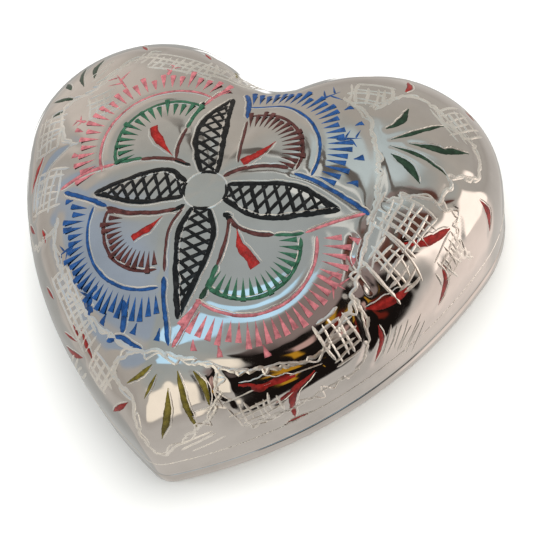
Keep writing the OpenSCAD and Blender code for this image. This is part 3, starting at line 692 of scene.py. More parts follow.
PATCHES = (  # frosted lattice: middle, half sizes and turn in degrees
    ((25, 34.8), (4.5, 3.8), 8), ((45, 35.5), (5, 4), -38), ((41, 5.8), (6, 4.8), -12),
    ((42.5, -4), (5.5, 3.6), -20), ((36.8, -21.8), (5.4, 3.8), -30), ((-40, -2.5), (5, 5), 6),
    ((-22.5, -29.3), (10, 3), -49), ((-20.5, 35), (10.5, 3), -6), ((-8, 37), (6, 3), 10),
    ((-45, 12.5), (4, 5), 15), ((24.5, -43.5), (5.5, 3.4), 38), ((-12, -42), (4, 3.5), -40),
    ((54, 5), (3, 5), 0), ((-33, 20), (3.5, 4), 30),
)
CREASES = (  # sharp folds pushed into the metal, with no lacquer
    ((10.6, -46.2), (17.4, -42.2), (23.4, -37.4), (29.8, -32.6), (35.4, -28.6)),
    ((13.4, -36.6), (14.2, -39.8), (16.2, -41.4), (18.6, -41.8)),
    ((32.6, -2.2), (33.4, -6.6), (39, -10.2)),
    ((40, 37.5), (44, 34.5), (48.6, 33), (52.2, 28.6)),
    ((-37, 8), (-42, 2), (-43, -8)),
)
FEATHERS = (  # rows of long bright strokes, laid out like the lattices
    ((55.8, -13.5), (4.5, 7), -60), ((56, 6.5), (4, 2.5), 20), ((-38, 30), (4, 3), 60),
    ((12, -55), (6, 2), 40), ((-24, -43), (4, 3), 30),
)


def curve(points, spacing):
    """An even, smooth run of points through the given ones."""
    p = np.asarray(points, float)
    if len(p) == 2:
        dense = p[0] + (p[1] - p[0]) * np.linspace(0, 1, 40)[:, None]
    else:
        ends = np.concatenate([[2 * p[0] - p[1]], p, [2 * p[-1] - p[-2]]])
        dense, t = [], np.linspace(0, 1, 24, endpoint=False)[:, None]
        for a, b, c, d in zip(ends, ends[1:], ends[2:], ends[3:]):
            bend = 2 * b + (c - a) * t + (2 * a - 5 * b + 4 * c - d) * t**2
            dense.append(0.5 * (bend + (3 * b - 3 * c + d - a) * t**3))
        dense = np.concatenate([*dense, p[-1:]])
    length = np.r_[0, np.cumsum(np.linalg.norm(np.diff(dense, axis=0), axis=1))]
    even = np.linspace(0, length[-1], max(3, int(length[-1] / spacing) + 1))
    return np.column_stack([np.interp(even, length, dense[:, k]) for k in (0, 1)])


def arc(middle, radius, start, end, n=14):
    angle = np.radians(np.linspace(start, end, n))
    return np.asarray(middle) + radius * np.column_stack([np.cos(angle), np.sin(angle)])


def in_fan(points):
    """Whether a cut lies wholly inside the fans."""
    return max(np.hypot(*point) for point in points) < REACH


PRESSED = {  # how deep the metal is pressed beside each kind of cut, and how far that spreads
    "cuts": (0.12, 0.8), "petals": (0.1, 1.1), "scallops": (0.3, 1.2), "creases": (0.4, 0.75),
    "lobes": (0.08, 1.6),
}
PRESS_SPACING = 0.4  # between the points of a pressed line
TICKS_OUT = 3.4  # from a fan's outer arc to the middle of the ticks round it
CHARTS = []  # the one chart, made when it is first asked for


def worked_chart():
    """The lid's chart with the metal pressed in along the main cuts."""
    if CHARTS:
        return CHARTS[0]
    chart = DomeChart(bpy.context.scene.musicbox_shape)
    # cuts of up to three points inside the fans, such as their hearts, lie flush
    pressed = [
        points for strokes in STROKES.values() for _,
        *points in strokes if not in_fan(points) or len(points) > 3
    ]
    cuts = [curve(points, PRESS_SPACING) for points in pressed]
    for middle, span, _, inner_r, _, outer_r in FANS:
        cuts += [arc(middle, radius, *span, 60) for radius in (inner_r, outer_r)]
    petals = [curve(((0, 0), bulge, tip), PRESS_SPACING) for tip, *bulges in PETALS for bulge in bulges]
    chart.press(cuts, *PRESSED["cuts"])
    chart.press(petals, *PRESSED["petals"])
    chart.press([curve(line, PRESS_SPACING) for line in SCALLOPS], *PRESSED["scallops"])
    chart.press([curve(line, PRESS_SPACING) for line in CREASES], *PRESSED["creases"])
    lobes = [arc(middle, outer_r + TICKS_OUT, *span, 90) for middle, span, *_, outer_r in FANS]
    chart.press(lobes, *PRESSED["lobes"])
    CHARTS.append(chart)
    return chart


BURR_WIDTH = 0.34  # in millimetres


class Drawing:
    """Gathers hand cuts as closed ribbons with a ridge, then lays them on the lid as one piece."""

    def __init__(self, style, seed):
        self.style = style
        self.random = np.random.default_rng(seed)
        self.flat, self.lift, self.faces, self.edge = [], [], [], []

    def wander(self, n):
        """How far a hand strays along a stroke of n steps, as a share of its width, with some chatter."""
        knots = n // 4 + 2
        slow = np.interp(np.linspace(0, 1, n), np.linspace(0, 1, knots), self.random.standard_normal(knots))
        return self.style.wobble * (slow + 0.35 * self.random.standard_normal(n))

    def stroke(self, points, width, shape="leaf", spacing=0.55, height=1.0):
        """One cut through the points, in millimetres, and the line of the burr beside it.

        A leaf is widest in its middle, a spear near its root, a wedge or shuttle at its end; a line is even.
        """
        path = curve(points, spacing)
        n = len(path)
        t = np.linspace(0, 1, n)
        profile = {
            "leaf": np.sin(math.pi * np.clip(t, 0.03, 0.97)) ** 0.62,
            "spear": np.clip(np.minimum(t * 9, 1) * (1 - t) ** 0.55, 0.07, 1),
            "line": np.clip(np.minimum(t, 1 - t) * n * 0.8, 0.35, 1),
            "wedge": np.clip(0.2 + 0.8 * t, 0, 1),
            "shuttle": np.clip(0.08 + 1.7 * t, 0, 1),
        }[shape]
        along = np.gradient(path, axis=0)
        along /= np.maximum(np.linalg.norm(along, axis=1), 1e-9)[:, None]
        across = np.column_stack([-along[:, 1], along[:, 0]])
        left = profile * width / 2 * (1 + self.wander(n))
        right = profile * width / 2 * (1 + self.wander(n))
        spine = path + across * (self.wander(n) * 0.25 * profile * width)[:, None]
        high = self.style.ridge / MM * height * np.clip(profile, 0.3, 1)
        bite = np.full(n, -self.style.bite / MM)
        first = sum(len(f) for f in self.flat)
        near, far = path + across * left[:, None], path - across * right[:, None]
        self.flat.append(np.concatenate([near, spine, far, spine]))
        self.lift.append(np.concatenate([bite, high, bite, bite * 6]))
        for i in range(n - 1):
            for k in range(4):
                a, b = first + k * n + i, first + ((k + 1) % 4) * n + i
                self.faces.append((a, b, b + 1, a + 1))
        # edge is 1 at a cut's sides and 0 on its spine; the lacquer is darkened by it as painted shade
        self.edge += [1.0] * n + [0.0] * n + [1.0] * 2 * n
        self.faces.append(tuple(first + k * n for k in (3, 2, 1, 0)))
        self.faces.append(tuple(first + k * n + n - 1 for k in (0, 1, 2, 3)))
        return path + across * (left + self.style.burr / MM)[:, None]

    def lay(self, name, chart, material):
        flat = np.concatenate(self.flat) * MM
        points = chart.lifted(flat, np.concatenate(self.lift) * MM)
        made = object_from(name, points, self.faces, material, smooth=False)
        made.data.attributes.new("edge", "FLOAT", "POINT").data.foreach_set("value", self.edge)
        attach(made, "lid")
        return made


def cut_with_burr_highlight(drawing, burrs, points, width, kind):
    """A cut, and the fine burr beside it: a raised strip, painted near white as a highlight along the cut."""
    burrs.stroke(drawing.stroke(points, width, kind), BURR_WIDTH, "line", 0.5, 0.9)


def hatch(drawing, sides, pitch, width):
    """Crossed cuts between two sides of a petal."""
    left, right = (curve(side, 0.3) for side in sides)
    n = min(len(left), len(right))
    left, right = (side[np.linspace(0, len(side) - 1, n).astype(int)] for side in (left, right))
    length = np.linalg.norm(np.diff((left + right) / 2, axis=0), axis=1).sum()
    skip = max(2, int(n * pitch / length))
    for start in range(-skip * 2, n, skip):
        for a, b in ((left, right), (right, left)):
            i, j = max(1, start), min(n - 2, start + int(skip * 1.7))
            if j - i > skip * 0.6:
                drawing.stroke((a[i], b[j]), width, "line", 0.9)


class MUSICBOX_OT_lacquer(bpy.types.Operator):
    """Cuts the flower, leaves and sprigs, one piece for each colour of lacquer"""

    bl_idname = "musicbox.lacquer"
    bl_label = "Lacquered cuts"

    def execute(self, context):
        style, chart = context.scene.musicbox_cuts, worked_chart()
        burrs = Drawing(style, SEED + 30)
        for order, (colour, strokes) in enumerate(STROKES.items()):
            drawing = Drawing(style, SEED + order)
            for width, *points in strokes:
                kind = "leaf" if colour in ("red", "pine", "olive") else "line"
                if colour == "red" and in_fan(points):
                    kind = "shuttle"
                cut_with_burr_highlight(drawing, burrs, points, width, kind)
            for root, tip in TWIGS.get(colour, ()):
                root, tip = np.array(root, float), np.array(tip, float)
                drawing.stroke((root, tip), 1.3, "spear")
                side = np.array([-(tip - root)[1], (tip - root)[0]]) * 0.45
                for share, turn in ((0.35, 1), (0.55, -1), (0.75, 1)):
                    at = root + (tip - root) * share
                    drawing.stroke((at, at + side * turn + (tip - root) * 0.25), 0.9, "spear")
            for middle in TRIANGLES.get(colour, ()):
                middle = np.array(middle, float)
                inward = -middle / np.linalg.norm(middle) * drawing.random.uniform(1.3, 1.9)
                drawing.stroke((middle + inward, middle - inward * 0.4), 2.2, "wedge", 0.5)
            for (x, y), (start, end), inner, inner_r, outer, outer_r in FANS:
                for ring_colour, radius, width in ((inner, inner_r, 1.0), (outer, outer_r, 0.9)):
                    if ring_colour == colour:
                        cut_with_burr_highlight(drawing, burrs, arc((x, y), radius, start, end), width, "line")
            if colour == "black":
                self.petals(drawing, burrs)
            drawing.lay("cuts_" + colour, chart, finish(colour))
        # the burrs: raised strips beside the cuts, painted near white as highlights
        burrs.lay("burrs", chart, finish("bright"))
        return {"FINISHED"}

    def petals(self, drawing, burrs):
        """The flower's hub and its four crosshatched petals."""
        hub_r = 4.6
        burrs.stroke(arc((0, 0), hub_r, 0, 352, 24), 0.5, "line", 0.8, 0.9)
        for tip, *bulges in PETALS:
            tip = np.array(tip, float)
            axis = tip / np.linalg.norm(tip)
            lean = math.degrees(math.atan2(axis[1], axis[0]))
            drawing.stroke(arc((0, 0), hub_r, lean - 27, lean + 27), 1.1, "line")
            sides = []
            for bulge in bulges:
                bulge = np.array(bulge, float)
                turn = math.copysign(1.0, axis[0] * bulge[1] - axis[1] * bulge[0])
                root = hub_r * (axis * 0.92 + turn * 0.4 * np.array([-axis[1], axis[0]]))
                sides.append((root, bulge, tip))
                cut_with_burr_highlight(drawing, burrs, sides[-1], 1.35, "line")
            hatch(drawing, sides, 2.6, 1.05)


def cut_tree(material):
    """Geometry nodes that set one pyramid-shaped nick on every point, along the point's own direction."""
    tree = bpy.data.node_groups.new("nicks_on_points", "GeometryNodeTree")
    face = tree.interface
    face.new_socket("Geometry", in_out="INPUT", socket_type="NodeSocketGeometry")
    for name, value in (
        ("Length", 3.5 * MM), ("Width", 1.0 * MM), ("Ridge", 0.09 * MM), ("Unevenness", 0.22)
    ):
        face.new_socket(name, in_out="INPUT", socket_type="NodeSocketFloat").default_value = value
    face.new_socket("Seed", in_out="INPUT", socket_type="NodeSocketInt").default_value = SEED
    face.new_socket("Geometry", in_out="OUTPUT", socket_type="NodeSocketGeometry")
    given = add_node(tree, "NodeGroupInput").outputs
    # a cone of four sides lying along X with its point at the origin
    cone = add_node(
        tree, "GeometryNodeMeshCone", {"Vertices": 4, "Radius Top": 0.0, "Radius Bottom": 0.5, "Depth": 1.0}
    )
    lying = add_node(
        tree, "GeometryNodeTransform", {"Rotation": (0.0, -math.pi / 2, 0.0), "Translation": (1.0, 0.0, 0.0)},
        {"Geometry": cone.outputs["Mesh"]},
    )
    outward = add_node(
        tree, "GeometryNodeInputNamedAttribute", {"data_type": "FLOAT_VECTOR", "Name": "outward"}
    )
    upward = add_node(
        tree, "GeometryNodeInputNamedAttribute", {"data_type": "FLOAT_VECTOR", "Name": "upward"}
    )
    first = add_node(
        tree, "FunctionNodeAlignRotationToVector", {"axis": "Z"}, {"Vector": upward.outputs["Attribute"]}
    )
    second = add_node(
        tree, "FunctionNodeAlignRotationToVector", {"axis": "X", "pivot_axis": "Z"},
        {"Rotation": first.outputs["Rotation"], "Vector": outward.outputs["Attribute"]},
    )
    low = add_node(tree, "ShaderNodeMath", {"operation": "SUBTRACT", 0: 1.0}, {1: given["Unevenness"]})
    high = add_node(tree, "ShaderNodeMath", {"operation": "ADD", 0: 1.0}, {1: given["Unevenness"]})
    spread = add_node(
        tree, "FunctionNodeRandomValue", {"data_type": "FLOAT"},
        {"Min": low.outputs[0], "Max": high.outputs[0], "Seed": given["Seed"]},
    )
    length = add_node(
        tree, "ShaderNodeMath", {"operation": "MULTIPLY"}, {0: given["Length"], 1: spread.outputs["Value"]}
    )
    tall = add_node(tree, "ShaderNodeMath", {"operation": "MULTIPLY", 1: 2.0}, {0: given["Ridge"]})
    size = add_node(
        tree, "ShaderNodeCombineXYZ", (), {"X": length.outputs[0], "Y": given["Width"], "Z": tall.outputs[0]}
    )
    set_on = add_node(
        tree, "GeometryNodeInstanceOnPoints", (),
        {"Points": given["Geometry"], "Instance": lying.outputs["Geometry"],
         "Rotation": second.outputs["Rotation"], "Scale": size.outputs["Vector"]},
    )
    real = add_node(tree, "GeometryNodeRealizeInstances", (), {"Geometry": set_on.outputs["Instances"]})
    coat = add_node(
        tree, "GeometryNodeSetMaterial", {"Material": material}, {"Geometry": real.outputs["Geometry"]}
    )
    add_node(tree, "NodeGroupOutput", (), {"Geometry": coat.outputs["Geometry"]})
    return tree


def nicks(name, chart, roots, tips, material, values):
    """A row of nicks that run from sharp roots to wide tips, made by the nodes and left as a plain mesh."""
    roots, tips = np.asarray(roots, float) * MM, np.asarray(tips, float) * MM
    flush, up = np.zeros(len(roots)), chart.normals(roots)
    points, ends = chart.lifted(roots, flush), chart.lifted(tips, flush)
    # the metal bulges between the two ends, so the nick stands up by most of that
    bulge = ((chart.lifted((roots + tips) / 2, flush) - (points + ends) / 2) * up).sum(axis=1)
    points += up * np.clip(bulge, 0, None)[:, None] * 0.7
    out = ends - points
    mesh = bpy.data.meshes.new(name)
    mesh.from_pydata([tuple(p) for p in points], [], [])
    for label, data in (("outward", out), ("upward", up)):
        attribute = mesh.attributes.new(label, "FLOAT_VECTOR", "POINT")
        attribute.data.foreach_set("vector", data.astype(np.float32).ravel())
    source = bpy.data.objects.new(name + "_points", mesh)
    bpy.context.scene.collection.objects.link(source)
    modifier = source.modifiers.new("nicks", "NODES")
    tree = cut_tree(material)
    modifier.node_group = tree
    for socket in tree.interface.items_tree:
        if socket.in_out == "INPUT" and socket.name in values:
            modifier[socket.identifier] = values[socket.name]
    plain = plain_mesh(source)
    plain.name = name
    bpy.data.objects.remove(source)
    bpy.data.meshes.remove(mesh)
    made = bpy.data.objects.new(name, plain)
    bpy.context.scene.collection.objects.link(made)
    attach(made, "lid")
    return made


class MUSICBOX_OT_fans(bpy.types.Operator):
    """Cuts the rows of wedge-shaped nicks inside and outside the four fans"""

    bl_idname = "musicbox.fans"
    bl_label = "Fan nicks"

    def execute(self, context):
        style, chart = context.scene.musicbox_cuts, worked_chart()
        for number, ((x, y), (start, end), inner, inner_r, outer, outer_r) in enumerate(FANS):
            middle = np.array([x, y])
            for row, colour, count, near, far, width in (
                ("teeth", inner, 15, inner_r - 4.4, inner_r - 0.2, 1.15),
                ("ticks", outer, 24, outer_r + 1.0, outer_r + 5.8, 1.3),
            ):
                angle = np.radians(np.linspace(start + 2, end - 2, count))
                ray = np.column_stack([np.cos(angle), np.sin(angle)])
                nicks(
                    f"fan_{row}_{number + 1}", chart, middle + near * ray, middle + far * ray, finish(colour),
                    {
                        "Length": (far - near) * MM, "Width": width * MM, "Ridge": style.ridge * 1.5,
                        "Seed": SEED + number
                    },
                )
        return {"FINISHED"}


BORDER_COUNT = 900  # points of the border round the side


class MUSICBOX_OT_bright_cuts(bpy.types.Operator):
    """Cuts the frosted lattices, the rough scallops and the border line above the side band"""

    bl_idname = "musicbox.bright_cuts"
    bl_label = "Bright cuts"

    def execute(self, context):
        shape, style = context.scene.musicbox_shape, context.scene.musicbox_cuts
        chart = worked_chart()
        drawing = Drawing(style, SEED + 40)
        for line in SCALLOPS:
            for spacing, shake, width in ((0.9, 0.3, 1.15), (1.6, 0.75, 0.7)):
                path = curve(line, spacing)
                shaken = path + drawing.random.standard_normal(path.shape) * shake
                drawing.stroke(shaken, width, "line", 0.5, 1.1)
        for line in CREASES:
            drawing.stroke(line, 0.5, "line", 0.5, 1.1)
        for patches, ways in ((PATCHES, 2), (FEATHERS, 1)):
            for middle, (half_w, half_h), turn in patches:
                self.lattice(drawing, np.array(middle, float), half_w, half_h, math.radians(turn), ways)
        drawing.lay("bright_lattice", chart, finish("bright"))
        self.border(drawing, shape)
        return {"FINISHED"}

    def lattice(self, drawing, middle, half_w, half_h, turn, ways):
        """A patch of crossed cuts whose strokes run a little past each other, as a hand leaves them."""
        across = np.array([math.cos(turn), math.sin(turn)])
        up = np.array([-across[1], across[0]])
        draw = drawing.random.uniform
        both = ((across, up, half_w, half_h), (up, across, half_h, half_w))
        for first, second, half_a, half_b in both[:ways]:
            for offset in np.arange(-half_b, half_b + 0.1, 1.8):
                start = middle + second * (offset + draw(-0.5, 0.5)) - first * half_a * draw(0.6, 1.25)
                end = middle + second * (offset + draw(-0.5, 0.5)) + first * half_a * draw(0.6, 1.25)
                bend = (start + end) / 2 + second * draw(-0.5, 0.5)
                drawing.stroke((start, bend, end), draw(0.65, 1.2), "line", 0.7, 1.1)

    def border(self, drawing, shape):
        """The rough bright line that runs round the side, just under the dome."""
        n = BORDER_COUNT
        outline = heart(shape, 0, n)
        forward = np.roll(outline, -1, axis=0) - np.roll(outline, 1, axis=0)
        out = np.column_stack([-forward[:, 1], forward[:, 0]]) / np.linalg.norm(forward, axis=1)[:, None]
        height, width = shape.shoulder - 0.3 * MM, 0.5 * MM
        jag = drawing.random.standard_normal((3, n)) * 0.09 * MM
        rows = (
            (height + width / 2 + jag[0], -0.03 * MM), (height + jag[1] * 0.5, 0.07 * MM),
            (height - width / 2 + jag[2], -0.03 * MM), (height + jag[1] * 0.5, -0.2 * MM),
        )
        points = np.concatenate([np.column_stack([outline + out * lift, z]) for z, lift in rows])
        faces = []
        for k in range(4):
            for i in range(n):
                j, m = (i + 1) % n, (k + 1) % 4
                faces.append((k * n + i, k * n + j, m * n + j, m * n + i))
        made = object_from("bright_border", points, faces, finish("bright"), smooth=False)
        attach(made, "lid")


# ---------------------------------------------------------------- base and tray


ARBOR_HOLE_R, SCREW_HOLE_R = 2.5 * MM, 1.25 * MM
SCREW_REACH = 6 * MM  # points nearer than this belong to the same screw


class MUSICBOX_OT_base(bpy.types.Operator):
    """Makes the base: the visible band, the lip inside the lid, and the raised floor with its holes"""

    bl_idname = "musicbox.base"
    bl_label = "Base"

    def execute(self, context):
        shape = context.scene.musicbox_shape
        n, soft = shape.columns, 0.25 * MM
        top, seam = BASE_HIGH[2], shape.seam_z
        lip = -shape.lid_wall - shape.lip_gap
        hollow, roof = lip - shape.lip_wall, top - shape.floor_t
        profile = (
            (hollow, 0.0), (-soft, 0.0), (-soft * 0.3, soft * 0.3), (0.0, soft), (0.0, seam - soft),
            (-soft * 0.3, seam - soft * 0.3), (-soft, seam), (lip, seam), (lip, top - soft),
            (lip - soft, top),
        )
        outside = [at_height(heart(shape, grow, n), z) for grow, z in profile]
        inside = at_height(heart(shape, hollow, n), roof)
        points, faces = skin([inside, *outside])
        last = len(outside) * n
        faces += [tuple(range(n)), tuple(range(last, last + n))]
        base = object_from("base_band", points, faces, finish("nickel"))
        self.drill(base)
        base.data.polygons.foreach_set("use_smooth", [True] * len(base.data.polygons))
        base.data.set_sharp_from_angle(angle=math.radians(35))
        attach(base, "base")
        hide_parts("base_shell")
        return {"FINISHED"}

    def drill(self, base):
        """Cuts the arbor's hole and the four screw holes, where the movement's own parts stand."""
        arbor_low, arbor_high = (Vector(v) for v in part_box("winding_arbor"))
        key = (arbor_low + arbor_high) / 2
        holes = [(key.x, key.y, ARBOR_HOLE_R)]
        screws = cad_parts["movement_screws"].data
        corners = np.array([v.co for v in screws.vertices])
        middles = []
        for point in corners[:, :2]:
            for group in middles:
                if np.linalg.norm(group[0] - point) < SCREW_REACH:
                    group.append(point)
                    break
            else:
                middles.append([point])
        for group in middles:
            x, y = (np.min(group, axis=0) + np.max(group, axis=0)) / 2
            holes.append((x, y, SCREW_HOLE_R))
        work = bmesh.new()
        for x, y, radius in holes:
            bmesh.ops.create_cone(
                work, cap_ends=True, segments=48, radius1=radius, radius2=radius, depth=30 * MM,
                matrix=Matrix.Translation((x, y, BASE_HIGH[2])),
            )
        mesh = bpy.data.meshes.new("drill")
        work.to_mesh(mesh)
        work.free()
        drill = bpy.data.objects.new("drill", mesh)
        bpy.context.scene.collection.objects.link(drill)
        cut = base.modifiers.new("drill", "BOOLEAN")
        cut.operation, cut.object, cut.solver = "DIFFERENCE", drill, "EXACT"
        settle(base)
        base.data.name = "base_band"
        bpy.data.objects.remove(drill)


BIG = 10.0  # the pad is worked this many times larger, where cloth settles well, and then taken back to size
PAD_COUNT = 720  # points of the outline that the pad's rim is taken from
PAD_VOXEL = 0.0045  # in metres, at the larger size
SWELL_FRAMES, SWELL_CAP = 20, 0.007  # frames of the cloth, and how far a point may move at the larger size


class MUSICBOX_OT_tray(bpy.types.Operator):
    """Makes the padded velvet bottom of the trinket tray"""

    bl_idname = "musicbox.tray"
    bl_label = "Tray pad"

    def execute(self, context):
        shape = context.scene.musicbox_shape
        inset = 0.35 * MM
        back = PAD_HIGH[1] - inset
        rim_grow = -(abs(heart(shape, 0, PAD_COUNT)[:, 1].min() - PAD_LOW[1])) - inset
        rim = heart(shape, rim_grow, PAD_COUNT)
        rim = rim[rim[:, 1] < back]
        rim = np.concatenate([[[rim[0][0], back]], rim, [[rim[-1][0], back]]])
        keep = np.r_[0, np.arange(1, len(rim) - 1, 3), len(rim) - 1]
        rim = rim[keep]
        n = len(rim)
        low, high = PAD_LOW[2] + 0.1 * MM, PAD_LOW[2] + 0.9 * MM
        points = np.concatenate([at_height(rim, low), at_height(rim, high)]) * BIG
        faces = [tuple(range(n)), tuple(range(n, 2 * n))]
        faces += [(i, (i + 1) % n, n + (i + 1) % n, n + i) for i in range(n)]
        pad = object_from("velvet_pad", points, faces, finish("pad"))
        remesh = pad.modifiers.new("remesh", "REMESH")
        remesh.mode, remesh.voxel_size = "VOXEL", PAD_VOXEL
        self.apply(pad)
        self.swell(pad)
        mesh = pad.data
        spots = np.array([v.co for v in mesh.vertices]) / BIG
        spots[:, 2] = np.clip(spots[:, 2], PAD_LOW[2] + 0.02 * MM, PAD_HIGH[2])
        for axis in (0, 1):
            spots[:, axis] = np.clip(spots[:, axis], PAD_LOW[axis] + 0.05 * MM, PAD_HIGH[axis] - 0.05 * MM)
        mesh.vertices.foreach_set("co", spots.ravel())
        mesh.polygons.foreach_set("use_smooth", [True] * len(mesh.polygons))
        mesh.update()
        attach(pad, "base")
        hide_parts("tray_pad")
        return {"FINISHED"}

    def apply(self, piece):
        """Settles the pad; a remesh may drop its finish."""
        settle(piece)
        if not piece.data.materials:
            piece.data.materials.append(finish("pad"))

    def swell(self, pad):
        """Pressure fills the pad as cloth, and no point moves further than the cap."""
        scene = bpy.context.scene
        before = np.array([v.co for v in pad.data.vertices])
        cloth = pad.modifiers.new("cloth", "CLOTH")
        cloth.settings.use_pressure = True
        cloth.settings.uniform_pressure_force = 4.0
        cloth.settings.quality = 5
        cloth.settings.effector_weights.gravity = 0.0
        for number in range(1, SWELL_FRAMES + 1):
            scene.frame_set(number)
        self.apply(pad)
        scene.frame_set(1)
        after = np.array([v.co for v in pad.data.vertices])
        move = after - before
        far = np.linalg.norm(move, axis=1)
        move *= np.minimum(1, SWELL_CAP / np.maximum(far, 1e-9))[:, None]
        pad.data.vertices.foreach_set("co", (before + move).ravel())


# ---------------------------------------------------------------- finishes


def make_finishes(style):
    """Every finish of the box, by the name the pieces ask for."""
    made = {
        # zinc casting, bright nickel plated and buffed: a warm mirror with polishing waves and wiped smudges
        "nickel": plated("nickel_plate_buffed", linear("#CECBC7"), linear("#BFBCB8"), 0.04, 0.09, 6.0, 0.45),
        # nickel cut by a graver: rough and frosted, its colour painted almost white as a highlight where the
        # cuts and the burr catch the light
        "bright": plated(
            "nickel_graver_cut", linear("#F4F2EC"), linear("#D9D6CF"), 0.38, 0.2, 1.2, 0.5, grit=0.8
        ),
        # small hinge parts, plated but not buffed as far
        "hinge": plated(
            "nickel_plate_satin", linear("#CCC9C3"), linear("#B4B1AB"), 0.14, 0.12, 2.0, 0.15, grit=0.2
        ),
        # die-cast zinc of the bedplate: grey, grainy and dull
        "zinc": moulded("zinc_die_casting", linear("#9A9C9E"), linear("#7D8083"), 0.46, 1200.0, metal=0.9),
        # brass, turned on a lathe: yellow with fine marks round the turning axis
        "brass": worked_metal(
            "brass_turned", linear("#D9B469"), linear("#B8914A"), 0.22, 900.0, (1.0, 1.0, 6.0), 0.25
        ),
        # drawn brass tube of the cylinder, marks along its length
        "cylinder": worked_metal(
            "brass_tube_drawn", linear("#DDBD78"), linear("#C29C54"), 0.18, 1100.0, (0.15, 1.0, 1.0), 0.2
        ),
        # bright steel of shafts and screws
        "steel": worked_metal(
            "steel_turned", linear("#C9CBCE"), linear("#A2A5A9"), 0.2, 1300.0, (1.0, 1.0, 4.0), 0.2
        ),
        # ground spring steel of the comb, marks along the teeth
        "comb": worked_metal(
            "comb_steel_ground", linear("#D6D8DA"), linear("#AEB1B5"), 0.24, 1500.0, (1.0, 0.08, 1.0), 0.3
        ),
        # spring steel blued by heat
        "blued": worked_metal(
            "spring_steel_blued", linear("#4C5F86"), linear("#2C3850"), 0.26, 800.0, (1.0, 1.0, 0.5), 0.15
        ),
        # acetal fan, moulded off-white
        "fan": moulded("acetal_moulded", linear("#E4E0D4"), linear("#D3CEC0"), 0.42, 900.0),
        # flock sprayed on the tray
        "tray": velvet("velvet_flock_wine", linear("#7C2B42"), linear("#3E1020"), 0.35),
        # velvet drawn over the pad
        "pad": velvet("velvet_cloth_wine", linear("#96384F"), linear("#4A1528"), 0.3),
    }
    for colour in STROKES:
        made[colour] = lacquer("lacquer_" + colour, tuple(getattr(style, colour)))
    return made


FINISHES = {}


def finish(name):
    if not FINISHES:
        FINISHES.update(make_finishes(bpy.context.scene.musicbox_cuts))
    return FINISHES[name]


NODE_FINISH = {
    "hinge": (
        "lid_leaf_left", "lid_leaf_right", "base_leaf_left", "base_leaf_right", "hinge_pin_left",
        "hinge_pin_right"
    ),
    "tray": ("trinket_tray",),
    "zinc": ("bedplate", "left_bearing"),
    "steel": (
        "movement_screws", "winding_arbor", "bridge_screws", "ratchet_wheel", "click", "click_screw",
        "cylinder_arbor", "comb_screws", "frame_screws", "governor_arbor", "worm_shaft", "stop_plunger",
    ),
    "brass": (
        "spring_drum", "drum_cap", "great_wheel", "winding_key", "barrel_bridge", "cylinder_ends",
        "cylinder_pinion", "cylinder_gear", "governor_frame", "governor_pinion", "worm_wheel",
    ),
    "cylinder": ("pin_cylinder", "cylinder_pins"),
    "comb": ("comb",),
    "blued": ("mainspring", "click_spring", "plunger_spring"),
    "fan": ("governor_fan",),
}


class MUSICBOX_OT_movement(bpy.types.Operator):
    """Gives the hinges, the tray and every part of the movement its finish"""

    bl_idname = "musicbox.movement"
    bl_label = "Movement finishes"

    def execute(self, context):
        for name, nodes in NODE_FINISH.items():
            for node in nodes:
                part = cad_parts[node]
                if not part.material_slots:
                    raise RuntimeError(f"{node} has no material slot")
                for slot in part.material_slots:
                    slot.link = "OBJECT"
                    slot.material = finish(name)
        return {"FINISHED"}


# ---------------------------------------------------------------- stage


def aimed(azimuth, elevation, distance):
    """A frame that far out, facing the box. Azimuth 0 is towards the hinges, 90 towards the right lobe."""
    a, e = math.radians(azimuth), math.radians(elevation)
    place = Vector((math.sin(a) * math.cos(e), math.cos(a) * math.cos(e), math.sin(e))) * distance
    return Matrix.Translation(place) @ (-place).to_track_quat("-Z", "Y").to_matrix().to_4x4()


def soft_light(name, azimuth, elevation, size, power, colour):
    """A large soft lamp that lights the set without showing as a shape in the polished metal."""
    data = bpy.data.lights.new(name, "AREA")
    data.shape, data.size, data.size_y = "RECTANGLE", size, size
    data.energy, data.color = power, linear(colour)[:3]
    lamp = bpy.data.objects.new(name, data)
    lamp.matrix_world = aimed(azimuth, elevation, 1.3)
    lamp.visible_glossy = False
    bpy.context.scene.collection.objects.link(lamp)


CARDS = (  # name, azimuth, elevation, width and height in degrees, colour, strength, soft edge as a share
    ("shade", -58, -48, 90, 60, "#C6C6C3", 0.9, 0.3),
    ("blue_grey", -96, 38, 50, 56, "#B6C4D6", 0.98, 0.6),
    ("pale", 10, 50, 40, 22, "#DDEBEE", 1.0, 0.5),
    ("window_low", 76, -36, 44, 60, "#FFEFE6", 1.15, 0.5),
    ("window", 74, 4, 40, 50, "#FFF0E6", 2.0, 0.3),
    ("brown", 100, 50, 66, 34, "#A08E8A", 1.0, 0.5),
    ("umber", 82, 43, 20, 24, "#70483D", 1.0, 0.3),
    ("umber_dark", 90, 34, 8, 22, "#33211C", 1.0, 0.3),
    ("dark", 122, 4, 50, 92, "#1E1917", 1.0, 0.1),
    ("red", 109, 2, 7, 40, "#7A2A20", 1.0, 0.4),
    ("rose", 126, 20, 9, 14, "#D8B0A6", 1.0, 0.5),
    ("amber", 131, 6, 6, 26, "#D39A2C", 1.0, 0.5),
    ("ochre", 113, 24, 9, 18, "#C9952F", 1.0, 0.5),
    ("cream", 169, 18, 42, 46, "#FFF3E2", 1.4, 0.25),
    ("strip", -19, -32, 9, 24, "#FFFFFF", 1.8, 0.4),
    ("bar", 40, 67, 90, 5, "#F2F4F0", 1.1, 0.5),
    ("beam", 30, 60, 110, 4, "#7A746E", 0.9, 0.5),
    ("back_strip", -60, -33, 9, 16, "#FFFFFF", 1.6, 0.5),
    ("left", -50, 12, 40, 60, "#E9DFD6", 1.05, 0.6),
    ("sky", 149, 75, 40, 16, "#BFE6FF", 1.6, 0.45),
)
CARD_DISTANCE = 1.2
